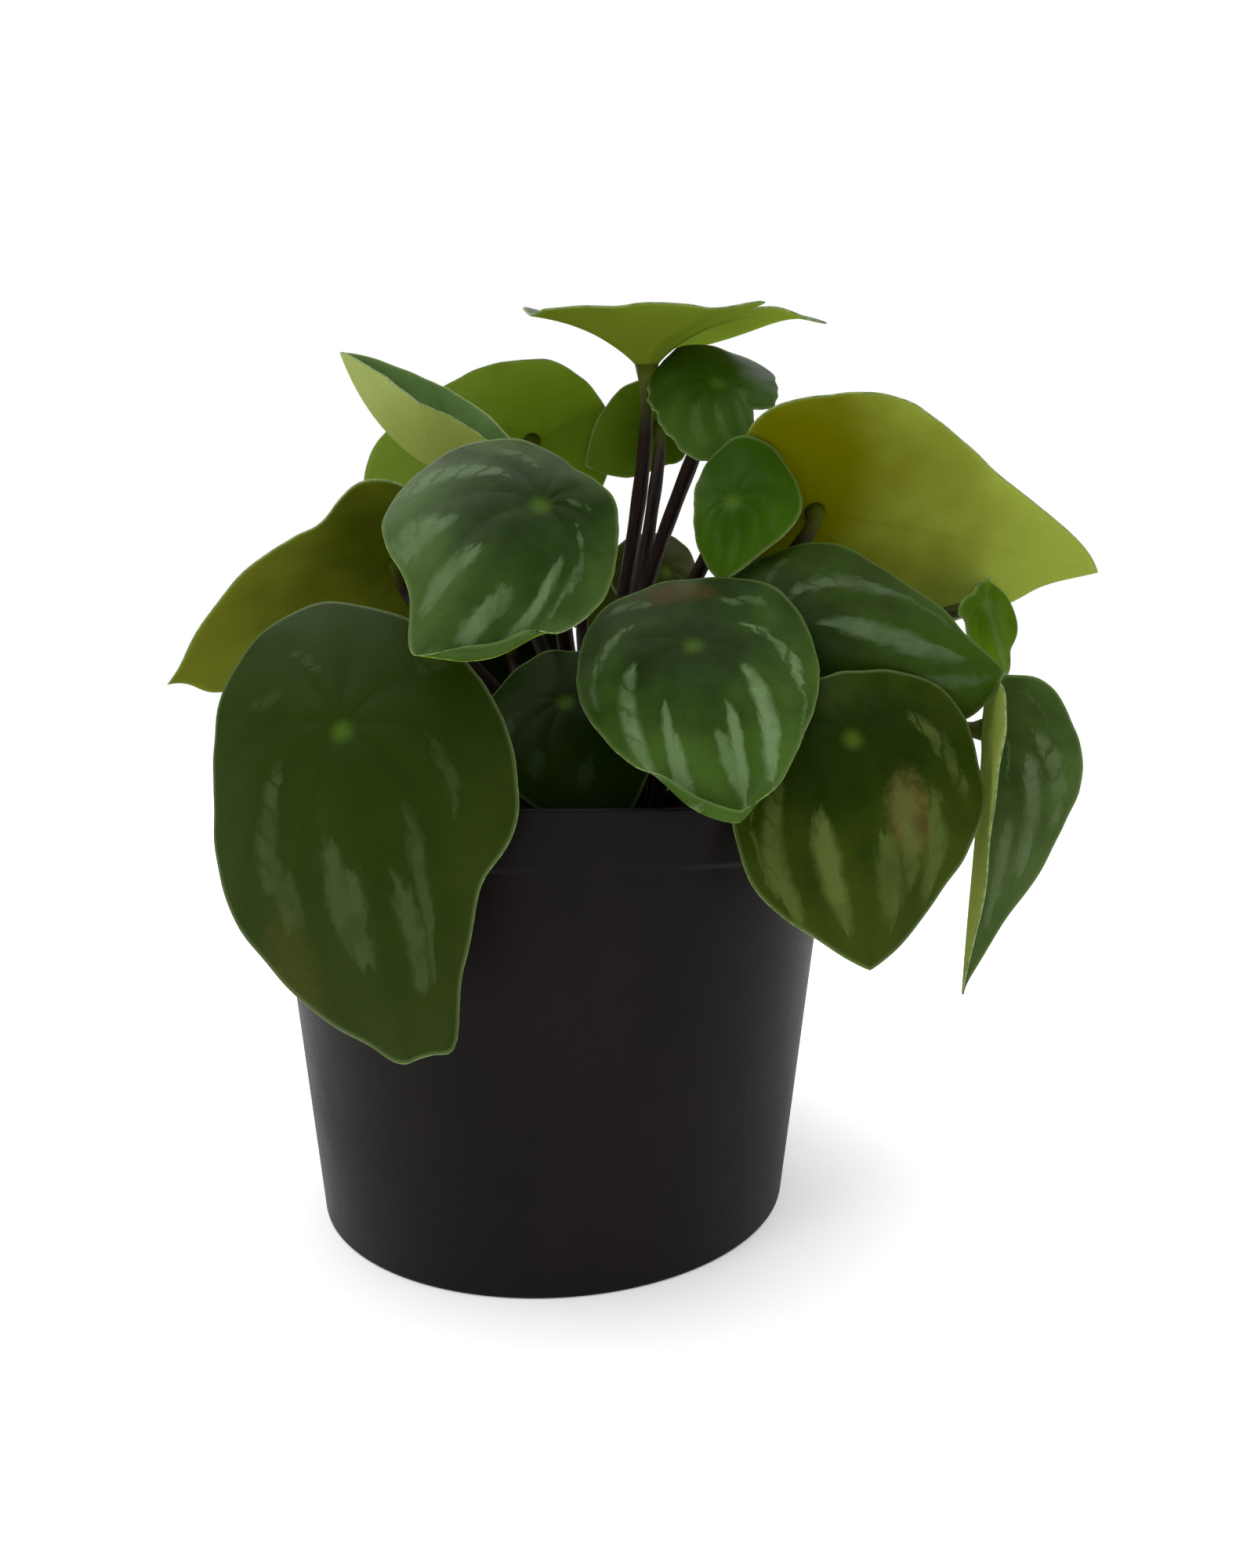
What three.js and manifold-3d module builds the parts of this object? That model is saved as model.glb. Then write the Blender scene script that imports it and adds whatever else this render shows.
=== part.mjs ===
// A watermelon peperomia in its plastic pot: pot, soil, and each leaf as a blade on a stalk.
// Millimetres, +Z up, origin on the floor under the middle of the pot, front towards -Y.

import * as THREE from "three";
import { mergeVertices } from "three/addons/utils/BufferGeometryUtils.js";
import Module from "manifold-3d";

const wasm = await Module();
wasm.setup();

// Driving dimensions of the pot: a plain tapered one with a shallow collar round its rim. It
// stands on a foot ring and a round pad in the middle, with a shallow groove between them.
const POT = {
  height: 86,
  rimRadius: 63.5,
  baseRadius: 51.5,
  wall: 1.6,
  collarHeight: 10.5,
  collarStep: 0.6,
  edgeBreak: 0.7,
  footWidth: 4.5,
  footHeight: 1.6,
  padRadius: 16,
  floorThickness: 1.8,
  sides: 56,
};
const DRAIN = { count: 5, radius: 4, ringRadius: 27, sides: 16 };

// The soil fills the pot to a little below the rim and rises slightly in the middle. Its
// shoulder is a share of the radius out and a share of the rise up.
const SOIL = { edgeHeight: 75, middleHeight: 77.5, shoulderOut: 0.6, shoulderUp: 0.67, sides: 40 };

// Every piece keeps this gap to the one that it rests on or stands in
const GAP = 0.3;

// A tool that cuts a hole runs this far past the face that it opens
const OVERCUT = 1;

// A stalk is round, thicker at its foot, and stands this deep in the soil
const STALK = { footRadius: 2.1, topRadius: 1.5, depth: 8, sides: 7, steps: 11, holeSides: 12 };

// A blade is a thin body with as many sectors round its stalk as its outline has points. Its
// rear end is round, arches less than the front by a share, and the crease of its fold is soft
// over a share of the half width. A waved edge has this many waves round the stalk.
const BLADE = {
  thickness: 0.8,
  sectors: 24,
  rings: 4,
  rearRoundness: 0.5,
  rearArchShare: 0.6,
  creaseShare: 0.06,
  waves: 5,
};

// The tuft of stalks leaves the soil here, in rings round its middle
const TUFT = { x: 10, y: 2, ringRadii: [0, 5.8, 11.4, 17] };

// Each leaf, by where its stalk meets the blade, where its tip is and which way it faces.
// width and back (stalk to rear edge) are in the blade; arch, cup and fold are degrees that the
// blade bends down along its midrib, bends down across it, and folds up along it; cone is how
// steeply it rises all round the stalk; sweep bends the tip sideways; point sharpens the tip.
// ring and angle are the stalk's place in the tuft.
const LEAVES = {
  top: {
    at: [20.5, -17, 179], tip: [60, -15, 191.5], face: [0, -0.54, 1],
    width: 31, back: 18, arch: 44, cup: 26, cone: 0.98, wave: 0.5, ring: 0, angle: 0,
  },
  top_young: {
    at: [35, -25, 172.5], tip: [40, -28, 156], face: [0.1, -0.95, 0.3],
    width: 28, back: 14, arch: 30, cup: 20, fold: -8, lead: 0.12, ring: 1, angle: -90,
  },
  inner_right: {
    at: [36.1, -39, 143.4], tip: [34.3, -38.3, 128.7], face: [-0.25, -0.92, 0.25],
    width: 21, back: 11.2, arch: 30, cup: 20, fold: -8, lead: 0.06, ring: 1, angle: -44,
  },
  upper_right: {
    at: [55, -24, 146.5], tip: [113.5, -26, 133], face: [0.15, 0.82, 0.55],
    width: 51, back: 18.5, arch: 25, cup: 18, fold: -6, point: 1, lead: 0.2, ring: 2, angle: -38,
  },
  right_narrow: {
    at: [88, -30, 126], tip: [91.5, -31.5, 112], face: [0.57, -0.8, 0.2],
    width: 22, back: 6, arch: -22, cup: -30, fold: -33, lead: 0.12, lift: 0.42, ring: 2, angle: -5,
  },
  middle_right: {
    at: [45, -45, 118.5], tip: [83.5, -49, 110], face: [0.1, -0.98, -0.1],
    width: 41, back: 15, arch: 20, cup: 20, fold: -22, ring: 2, angle: -68,
  },
  front_right: {
    at: [54.5, -55.5, 97.5], tip: [56, -60.5, 59.5], face: [0.05, -0.93, 0.3],
    width: 44, back: 13, arch: 20, cup: 6, fold: -8, lift: 0.3, ring: 3, angle: -48,
  },
  front_middle: {
    at: [27.5, -55, 113.5], tip: [33.5, -67, 84], face: [0, -0.93, 0.36],
    width: 42, back: 17, arch: 25, cup: 12, fold: -8, lift: 0.55, ring: 3, angle: -62,
  },
  upper_front: {
    at: [2.5, -64.8, 134.1], tip: [-14.3, -72.4, 108.5], face: [0.12, -0.9, 0.42],
    width: 38.5, back: 13.1, arch: 20, cup: 14, fold: -8, lift: 0.75, ring: 2, angle: -118,
  },
  front_left: {
    at: [-27.5, -69, 98], tip: [-16, -75, 50.5], face: [-0.1, -0.93, 0.3],
    width: 48, back: 21, arch: 20, cup: 14, fold: -8, sweep: -0.12, point: 0.7, ring: 3, angle: -120,
  },
  left_side: {
    at: [-34, -15, 138.5], tip: [-86, -15, 110.5], face: [-0.45, 0.62, 0.62],
    width: 36, back: 18, arch: 25, cup: 20, fold: -8, point: 1.1, ring: 2, angle: -150,
  },
  upper_left: {
    at: [-24, -13, 159], tip: [-46, -15, 184], face: [0.24, -0.57, 0.78],
    width: 33, back: 21.5, arch: -59, fold: 66, point: 0.55, lift: 0.6, lead: 0.1, ring: 1, angle: -150,
  },
  back_left_high: {
    at: [-8.5, 20, 179.5], tip: [-50, 15, 166], face: [0, 0.7, 0.7],
    width: 46, back: 21, arch: 20, cup: 20, fold: -8, ring: 1, angle: 150,
  },
  back_high: {
    at: [24.5, 21, 183], tip: [5.5, 17, 171.5], face: [-0.1, 0.8, 0.5],
    width: 30, back: 12, arch: 30, cup: 20, fold: -8, lead: 0.12, ring: 1, angle: 30,
  },
  back_middle: {
    at: [26.5, 25, 146.5], tip: [29, 27, 126], face: [0, -0.3, 0.95],
    width: 30, back: 13, arch: 30, cup: 20, fold: -8, ring: 1, angle: 90,
  },
  inner_front: {
    at: [4.6, -38.5, 105.5], tip: [12.1, -46, 79.5], face: [-0.05, -0.85, 0.5],
    width: 36, back: 15, arch: 30, cup: 12, fold: -8, ring: 3, angle: -95,
  },
  inner_rear: {
    at: [-15, 29, 128], tip: [-13, 45, 104], face: [0, 0.8, 0.6],
    width: 34, back: 14, arch: 25, cup: 12, fold: -8, ring: 2, angle: 138,
  },
  left_low: {
    at: [-72, 3, 107], tip: [-82, 5, 97.5], face: [-0.5, -0.5, 0.7],
    width: 24, back: 10, arch: 30, cup: 12, fold: -8, ring: 3, angle: -178,
  },
  far_right: {
    at: [85.5, -36, 100.5], tip: [79.5, -38, 49], face: [0.62, -0.74, 0.15],
    width: 40, back: 11, arch: 5, fold: 38, point: 1.1, ring: 3, angle: -24,
  },
  rear_left_low: {
    at: [-25, 62, 106], tip: [-36, 88, 62], face: [-0.1, 0.85, 0.5],
    width: 42, back: 15, arch: 20, cup: 10, fold: -8, ring: 3, angle: 122,
  },
  rear_low: {
    at: [16, 70, 108], tip: [20, 96, 60], face: [0.1, 0.9, 0.4],
    width: 44, back: 15, arch: 20, cup: 10, fold: -8, ring: 3, angle: 86,
  },
  rear_right_low: {
    at: [54, 48, 108], tip: [76, 66, 64], face: [0.6, 0.6, 0.5],
    width: 42, back: 14, arch: 20, cup: 10, fold: -8, ring: 3, angle: 46,
  },
  rear_left: {
    at: [-56, 34, 112], tip: [-80, 48, 72], face: [-0.7, 0.4, 0.5],
    width: 40, back: 14, arch: 20, cup: 10, fold: -8, ring: 3, angle: 160,
  },
  rear_middle: {
    at: [3, 44, 152], tip: [4, 84, 141], face: [0, 0.3, 0.9],
    width: 40, back: 14, arch: 30, cup: 10, fold: -8, ring: 2, angle: 112,
  },
  rear_right: {
    at: [45, 47, 134], tip: [67, 69, 102], face: [0.4, 0.8, 0.5],
    width: 42, back: 16, arch: 30, cup: 10, fold: -8, ring: 2, angle: 52,
  },
  rear_left_middle: {
    at: [-42, 26, 132], tip: [-72, 52, 112], face: [-0.3, 0.3, 0.9],
    width: 38, back: 13, arch: 30, cup: 10, fold: -8, ring: 2, angle: 165,
  },
};

// What a leaf has where the table doesn't say. lift and lead are how far its stalk's pull towards
// the root and towards the blade reaches, as shares of the distance between them.
const PLAIN_LEAF = {
  arch: 0, cup: 0, fold: 0, cone: 0, wave: 0, sweep: 0, point: 0.85, lift: 0.45, lead: 0.3,
};

const MATERIALS = {
  pot: new THREE.MeshStandardMaterial({ color: 0x2b2725, roughness: 0.55, metalness: 0 }),
  soil: new THREE.MeshStandardMaterial({ color: 0x2a1e15, roughness: 0.95, metalness: 0 }),
  blade: new THREE.MeshStandardMaterial({ color: 0x3c5a32, roughness: 0.45, metalness: 0 }),
  stalk: new THREE.MeshStandardMaterial({ color: 0x4a2a20, roughness: 0.5, metalness: 0 }),
};

const radians = THREE.MathUtils.degToRad;

// Outer radius of the pot's wall below the collar, at a height
function wallRadius(height) {
  const slope = (POT.rimRadius - POT.collarStep - POT.baseRadius) / POT.height;
  return POT.baseRadius + slope * height;
}

function innerRadius(height) {
  return wallRadius(height) - POT.wall;
}

function potGeometry() {
  const floorTop = POT.footHeight + POT.floorThickness;
  const collarFoot = POT.height - POT.collarHeight;
  const rimInner = POT.rimRadius - POT.wall - POT.collarStep;
  const profile = [
    [0, 0],
    [POT.padRadius, 0],
    [POT.padRadius + POT.footHeight / 2, POT.footHeight],
    [POT.baseRadius - POT.footWidth - POT.footHeight / 2, POT.footHeight],
    [POT.baseRadius - POT.footWidth, 0],
    [POT.baseRadius - POT.edgeBreak, 0],
    [POT.baseRadius, POT.edgeBreak],
    [wallRadius(collarFoot), collarFoot],
    [wallRadius(collarFoot) + POT.collarStep, collarFoot + POT.collarStep],
    [POT.rimRadius, POT.height - POT.edgeBreak],
    [POT.rimRadius - POT.edgeBreak, POT.height],
    [rimInner + POT.edgeBreak, POT.height],
    [rimInner, POT.height - POT.edgeBreak],
    [innerRadius(floorTop), floorTop],
    [0, floorTop],
  ];
  const points = profile.map(([radius, height]) => new THREE.Vector2(radius, height));
  return uprightLathe(points, POT.sides);
}

// A lathe turns round +Y, so it is stood up to turn round +Z
function uprightLathe(points, sides) {
  return new THREE.LatheGeometry(points, sides).rotateX(Math.PI / 2);
}

function soilGeometry() {
  const bottom = POT.footHeight + POT.floorThickness + GAP;
  const shoulderHeight = THREE.MathUtils.lerp(SOIL.edgeHeight, SOIL.middleHeight, SOIL.shoulderUp);
  const profile = [
    [0, bottom],
    [innerRadius(bottom) - GAP, bottom],
    [innerRadius(SOIL.edgeHeight) - GAP, SOIL.edgeHeight],
    [innerRadius(SOIL.edgeHeight) * SOIL.shoulderOut, shoulderHeight],
    [0, SOIL.middleHeight],
  ];
  const points = profile.map(([radius, height]) => new THREE.Vector2(radius, height));
  return uprightLathe(points, SOIL.sides);
}

// Where a leaf's stalk leaves the soil
function stalkRoot(leaf) {
  const radius = TUFT.ringRadii[leaf.ring];
  const turn = radians(leaf.angle);
  const x = TUFT.x + radius * Math.cos(turn);
  const y = TUFT.y + radius * Math.sin(turn);
  return new THREE.Vector3(x, y, SOIL.middleHeight);
}

// Half the blade's width at a place along it, from 0 at the rear edge to 1 at the tip
function halfWidth(leaf, along) {
  const rear = BLADE.rearRoundness;
  const widest = rear / (rear + leaf.point);
  const shape = (place) => place ** rear * (1 - place) ** leaf.point;
  return (leaf.width / 2) * (shape(along) / shape(widest));
}

// A length bent round a circle: how far it still reaches, and how far it drops
function bend(length, angle) {
  if (angle === 0 || length === 0) return { reach: length, drop: 0 };
  return { reach: (Math.sin(angle) / angle) * length, drop: ((1 - Math.cos(angle)) / angle) * length };
}

// A point of the blade's middle surface in its own frame, with the midrib along +X, the upper
// side towards +Z and the stalk at the origin. along and across are measured on the flat blade.
function bladePoint(leaf, length, along, across) {
  const half = leaf.width / 2;
  const towardsTip = along > 0;
  const part = towardsTip ? along / length : -along / leaf.back;
  const archAngle = radians(leaf.arch) * part * (towardsTip ? 1 : BLADE.rearArchShare);
  const run = bend(Math.abs(along), archAngle);
  const slope = towardsTip ? -archAngle : archAngle;

  const side = Math.abs(across);
  const crease = BLADE.creaseShare * half;
  const softSide = Math.hypot(side, crease) - crease;
  const rolled = bend(side, radians(leaf.cup) * (side / half));
  const fold = radians(leaf.fold);
  const radius = Math.hypot(along, across);
  const turn = Math.atan2(across / half, along / length);
  const ripple = leaf.wave * (radius / half) ** 2 * Math.sin(BLADE.waves * turn);
  const rise = softSide * Math.sin(fold) - rolled.drop + leaf.cone * radius + ripple;

  const sideways = Math.sign(across) * rolled.reach * Math.cos(fold);
  const swept = towardsTip ? leaf.sweep * length * part * part : 0;
  return new THREE.Vector3(
    (towardsTip ? run.reach : -run.reach) - Math.sin(slope) * rise,
    sideways + swept,
    -run.drop + Math.cos(slope) * rise,
  );
}

// Places a leaf: its length and the matrix from its own frame to the plant's, so that its stalk
// end and its tip come where the table says and its upper side faces as near as can be to face
function placeLeaf(leaf) {
  const at = new THREE.Vector3(...leaf.at);
  const chord = new THREE.Vector3(...leaf.tip).sub(at);
  const unitTip = bladePoint(leaf, 1, 1, 0);
  const length = chord.length() / unitTip.length();

  const own = basis(unitTip, new THREE.Vector3(0, 0, 1));
  const placed = basis(chord, new THREE.Vector3(...leaf.face));
  const matrix = placed.multiply(own.transpose()).setPosition(at);
  return { length, matrix };
}

// Three square axes: X along a direction, Z as near as can be to an upward one
function basis(direction, upward) {
  const x = direction.clone().normalize();
  const z = upward.clone().addScaledVector(x, -upward.dot(x)).normalize();
  const y = new THREE.Vector3().crossVectors(z, x);
  return new THREE.Matrix4().makeBasis(x, y, z);
}

// The blade's outline on the flat blade, from the tip round by the left side to the tip again
function bladeOutline(leaf, length) {
  const half = BLADE.sectors / 2;
  const outline = [];
  for (let sector = 0; sector < BLADE.sectors; sector += 1) {
    const step = sector <= half ? sector : BLADE.sectors - sector;
    const place = (1 + Math.cos((Math.PI * step) / half)) / 2;
    const side = sector <= half ? 1 : -1;
    const across = step === 0 || step === half ? 0 : side * halfWidth(leaf, place);
    outline.push([-leaf.back + place * (length + leaf.back), across]);
  }
  return outline;
}

// The blade's upper and lower skins: rings of points round the stalk, half the thickness from
// the middle surface, split into triangles alike, and joined along the outline
function bladeGeometry(leaf, length) {
  const outline = bladeOutline(leaf, length);
  const point = (along, across) => bladePoint(leaf, length, along, across);
  const positions = [];
  for (const side of [1, -1]) {
    for (let ring = 0; ring <= BLADE.rings; ring += 1) {
      const places = ring === 0 ? [[0, 0]] : outline;
      for (const [along, across] of places) {
        const scale = ring / BLADE.rings;
        const normal = surfaceNormal(point, along * scale, across * scale);
        const offset = (side * BLADE.thickness) / 2;
        positions.push(...point(along * scale, across * scale).addScaledVector(normal, offset));
      }
    }
  }

  const sectors = BLADE.sectors;
  const skin = 1 + sectors * BLADE.rings;
  const vertex = (side, ring, sector) => {
    const first = side * skin;
    return ring === 0 ? first : first + 1 + (ring - 1) * sectors + (sector % sectors);
  };
  const faces = [];
  for (let sector = 0; sector < sectors; sector += 1) {
    for (const side of [0, 1]) {
      for (let ring = 0; ring < BLADE.rings; ring += 1) {
        const near = vertex(side, ring, sector);
        const nearNext = vertex(side, ring, sector + 1);
        const far = vertex(side, ring + 1, sector);
        const farNext = vertex(side, ring + 1, sector + 1);
        faces.push(side === 0 ? [near, far, farNext] : [near, farNext, far]);
        if (ring > 0) faces.push(side === 0 ? [near, farNext, nearNext] : [near, nearNext, farNext]);
      }
    }
    const upper = vertex(0, BLADE.rings, sector);
    const upperNext = vertex(0, BLADE.rings, sector + 1);
    const lower = vertex(1, BLADE.rings, sector);
    const lowerNext = vertex(1, BLADE.rings, sector + 1);
    faces.push([upper, lower, lowerNext], [upper, lowerNext, upperNext]);
  }

  const geometry = new THREE.BufferGeometry();
  geometry.setAttribute("position", new THREE.Float32BufferAttribute(positions, 3));
  geometry.setIndex(faces.flat());
  return geometry;
}

// Upward normal of a surface that a function gives, from points a little to each side
function surfaceNormal(point, along, across) {
  const step = BLADE.thickness / 16;
  const alongTangent = point(along + step, across).sub(point(along - step, across));
  const acrossTangent = point(along, across + step).sub(point(along, across - step));
  return alongTangent.cross(acrossTangent).normalize();
}

// How far the blade's underside dips below the stalk's end, over the width of that end
function dipAtStalk(leaf, length) {
  const slopes = bladeOutline(leaf, length).map(([along, across]) => {
    const corner = bladePoint(leaf, length, along / BLADE.rings, across / BLADE.rings);
    return corner.z / Math.hypot(corner.x, corner.y);
  });
  return Math.max(0, -Math.min(...slopes)) * STALK.topRadius;
}

// A stalk rises straight out of the soil, bows over, and meets its blade square from below
function stalkPath(leaf, length, matrix) {
  const upward = new THREE.Vector3(0, 0, 1);
  const root = stalkRoot(leaf);
  const normal = upward.clone().transformDirection(matrix);
  const seat = BLADE.thickness / 2 + GAP + dipAtStalk(leaf, length);
  const end = new THREE.Vector3(...leaf.at).addScaledVector(normal, -seat);
  const span = end.distanceTo(root);
  const foot = root.clone().addScaledVector(upward, -STALK.depth);
  const bow = new THREE.CubicBezierCurve3(
    root,
    root.clone().addScaledVector(upward, leaf.lift * span),
    end.clone().addScaledVector(normal, -leaf.lead * span),
    end,
  );
  const path = new THREE.CurvePath();
  path.add(new THREE.LineCurve3(foot, root));
  path.add(bow);
  return path;
}

function circle(radius, sides) {
  const points = [];
  for (let side = 0; side < sides; side += 1) {
    const turn = (2 * Math.PI * side) / sides;
    points.push(new THREE.Vector2(radius * Math.cos(turn), radius * Math.sin(turn)));
  }
  return new THREE.Shape(points);
}

function tube(path, radius, sides, steps) {
  const options = { steps, extrudePath: path, bevelEnabled: false };
  return welded(new THREE.ExtrudeGeometry(circle(radius, sides), options));
}

// The tube's sections are drawn in towards the path, more and more towards its top
function stalkGeometry(path) {
  const geometry = tube(path, STALK.footRadius, STALK.sides, STALK.steps);
  const stations = path.getSpacedPoints(STALK.steps);
  const position = geometry.getAttribute("position");
  const corner = new THREE.Vector3();
  for (let index = 0; index < position.count; index += 1) {
    corner.fromBufferAttribute(position, index);
    const distances = stations.map((station) => station.distanceTo(corner));
    const nearest = distances.indexOf(Math.min(...distances));
    const taper = THREE.MathUtils.lerp(1, STALK.topRadius / STALK.footRadius, nearest / STALK.steps);
    corner.sub(stations[nearest]).multiplyScalar(taper).add(stations[nearest]);
    position.setXYZ(index, corner.x, corner.y, corner.z);
  }
  return geometry;
}

// Only positions, with the corners that faces share stored once
function welded(geometry) {
  geometry.deleteAttribute("normal");
  geometry.deleteAttribute("uv");
  return mergeVertices(geometry);
}

function toSolid(geometry) {
  const closed = welded(geometry.clone());
  const vertProperties = new Float32Array(closed.getAttribute("position").array);
  const triVerts = new Uint32Array(closed.getIndex().array);
  return new wasm.Manifold(new wasm.Mesh({ numProp: 3, vertProperties, triVerts }));
}

function fromSolid(solid) {
  const cut = solid.getMesh();
  const geometry = new THREE.BufferGeometry();
  geometry.setAttribute("position", new THREE.BufferAttribute(cut.vertProperties, 3));
  geometry.setIndex(new THREE.BufferAttribute(cut.triVerts, 1));
  return geometry;
}

function cutAway(geometry, cutters) {
  let solid = toSolid(geometry);
  for (const cutter of cutters) solid = solid.subtract(toSolid(cutter));
  return fromSolid(solid);
}

function uprightCylinder(radius, from, to, sides) {
  const cylinder = new THREE.CylinderGeometry(radius, radius, to - from, sides);
  return cylinder.rotateX(Math.PI / 2).translate(0, 0, (from + to) / 2);
}

function drainHoles() {
  const holes = [];
  for (let index = 0; index < DRAIN.count; index += 1) {
    const turn = (2 * Math.PI * (index + 0.5)) / DRAIN.count;
    const top = POT.footHeight + POT.floorThickness + OVERCUT;
    const hole = uprightCylinder(DRAIN.radius, -OVERCUT, top, DRAIN.sides);
    hole.translate(DRAIN.ringRadius * Math.cos(turn), DRAIN.ringRadius * Math.sin(turn), 0);
    holes.push(hole);
  }
  return holes;
}

// A plain round hole in the soil for a stalk, as deep as the stalk stands with the gap below
function stalkHole(leaf) {
  const root = stalkRoot(leaf);
  const bottom = SOIL.middleHeight - STALK.depth - GAP;
  const top = SOIL.middleHeight + OVERCUT;
  const hole = uprightCylinder(STALK.footRadius + GAP, bottom, top, STALK.holeSides);
  return hole.translate(root.x, root.y, 0);
}

function addMesh(group, name, geometry, material) {
  geometry.computeVertexNormals();
  const mesh = new THREE.Mesh(geometry, material.clone());
  mesh.name = name;
  group.add(mesh);
  return mesh;
}

const group = new THREE.Group();
const leaves = Object.entries(LEAVES).map(([name, own]) => [name, { ...PLAIN_LEAF, ...own }]);

addMesh(group, "pot", cutAway(potGeometry(), drainHoles()), MATERIALS.pot);
const holes = leaves.map(([, leaf]) => stalkHole(leaf));
addMesh(group, "soil", cutAway(soilGeometry(), holes), MATERIALS.soil);

for (const [name, leaf] of leaves) {
  const { length, matrix } = placeLeaf(leaf);
  addMesh(group, `stalk_${name}`, stalkGeometry(stalkPath(leaf, length, matrix)), MATERIALS.stalk);
  const blade = addMesh(group, `blade_${name}`, bladeGeometry(leaf, length), MATERIALS.blade);
  blade.applyMatrix4(matrix);
}

export default group;
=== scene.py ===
"""A watermelon peperomia in a dark plastic pot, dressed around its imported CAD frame.

Lengths are in metres, apart from the leaf, stalk, pot and soil dimensions, which repeat the CAD
model's own driving dimensions in millimetres and pass through MM.
"""

import math

import bmesh
import bpy
import numpy as np
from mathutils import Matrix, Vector


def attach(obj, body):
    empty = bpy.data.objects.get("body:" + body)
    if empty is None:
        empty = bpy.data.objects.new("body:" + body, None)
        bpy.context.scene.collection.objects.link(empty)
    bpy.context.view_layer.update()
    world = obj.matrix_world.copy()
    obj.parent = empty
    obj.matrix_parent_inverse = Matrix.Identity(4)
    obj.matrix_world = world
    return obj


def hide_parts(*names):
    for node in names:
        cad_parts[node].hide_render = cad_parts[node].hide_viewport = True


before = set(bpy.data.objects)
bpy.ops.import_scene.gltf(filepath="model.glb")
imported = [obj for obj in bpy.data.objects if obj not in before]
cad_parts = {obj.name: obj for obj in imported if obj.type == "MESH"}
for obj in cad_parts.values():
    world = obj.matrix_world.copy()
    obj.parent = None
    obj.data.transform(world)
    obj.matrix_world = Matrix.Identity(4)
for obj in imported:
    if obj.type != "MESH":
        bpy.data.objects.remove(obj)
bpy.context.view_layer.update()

MM = 0.001

# Driving dimensions, as in the CAD model
POT = dict(
    height=86, rim_radius=63.5, base_radius=51.5, wall=1.6, collar_height=10.5, collar_step=0.6,
    foot_width=4.5, foot_height=1.6, pad_radius=16, floor_thickness=1.8,
)
DRAIN = dict(count=5, radius=4, ring_radius=27)
SOIL = dict(edge_height=75, middle_height=77.5, gap=0.3)
STALK = dict(foot_radius=2.1, top_radius=1.5, depth=8)
BLADE = dict(thickness=0.8, rear_roundness=0.5, rear_arch_share=0.6, crease_share=0.06, waves=5)
TUFT = dict(x=10, y=2, ring_radii=(0, 5.8, 11.4, 17))

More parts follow.
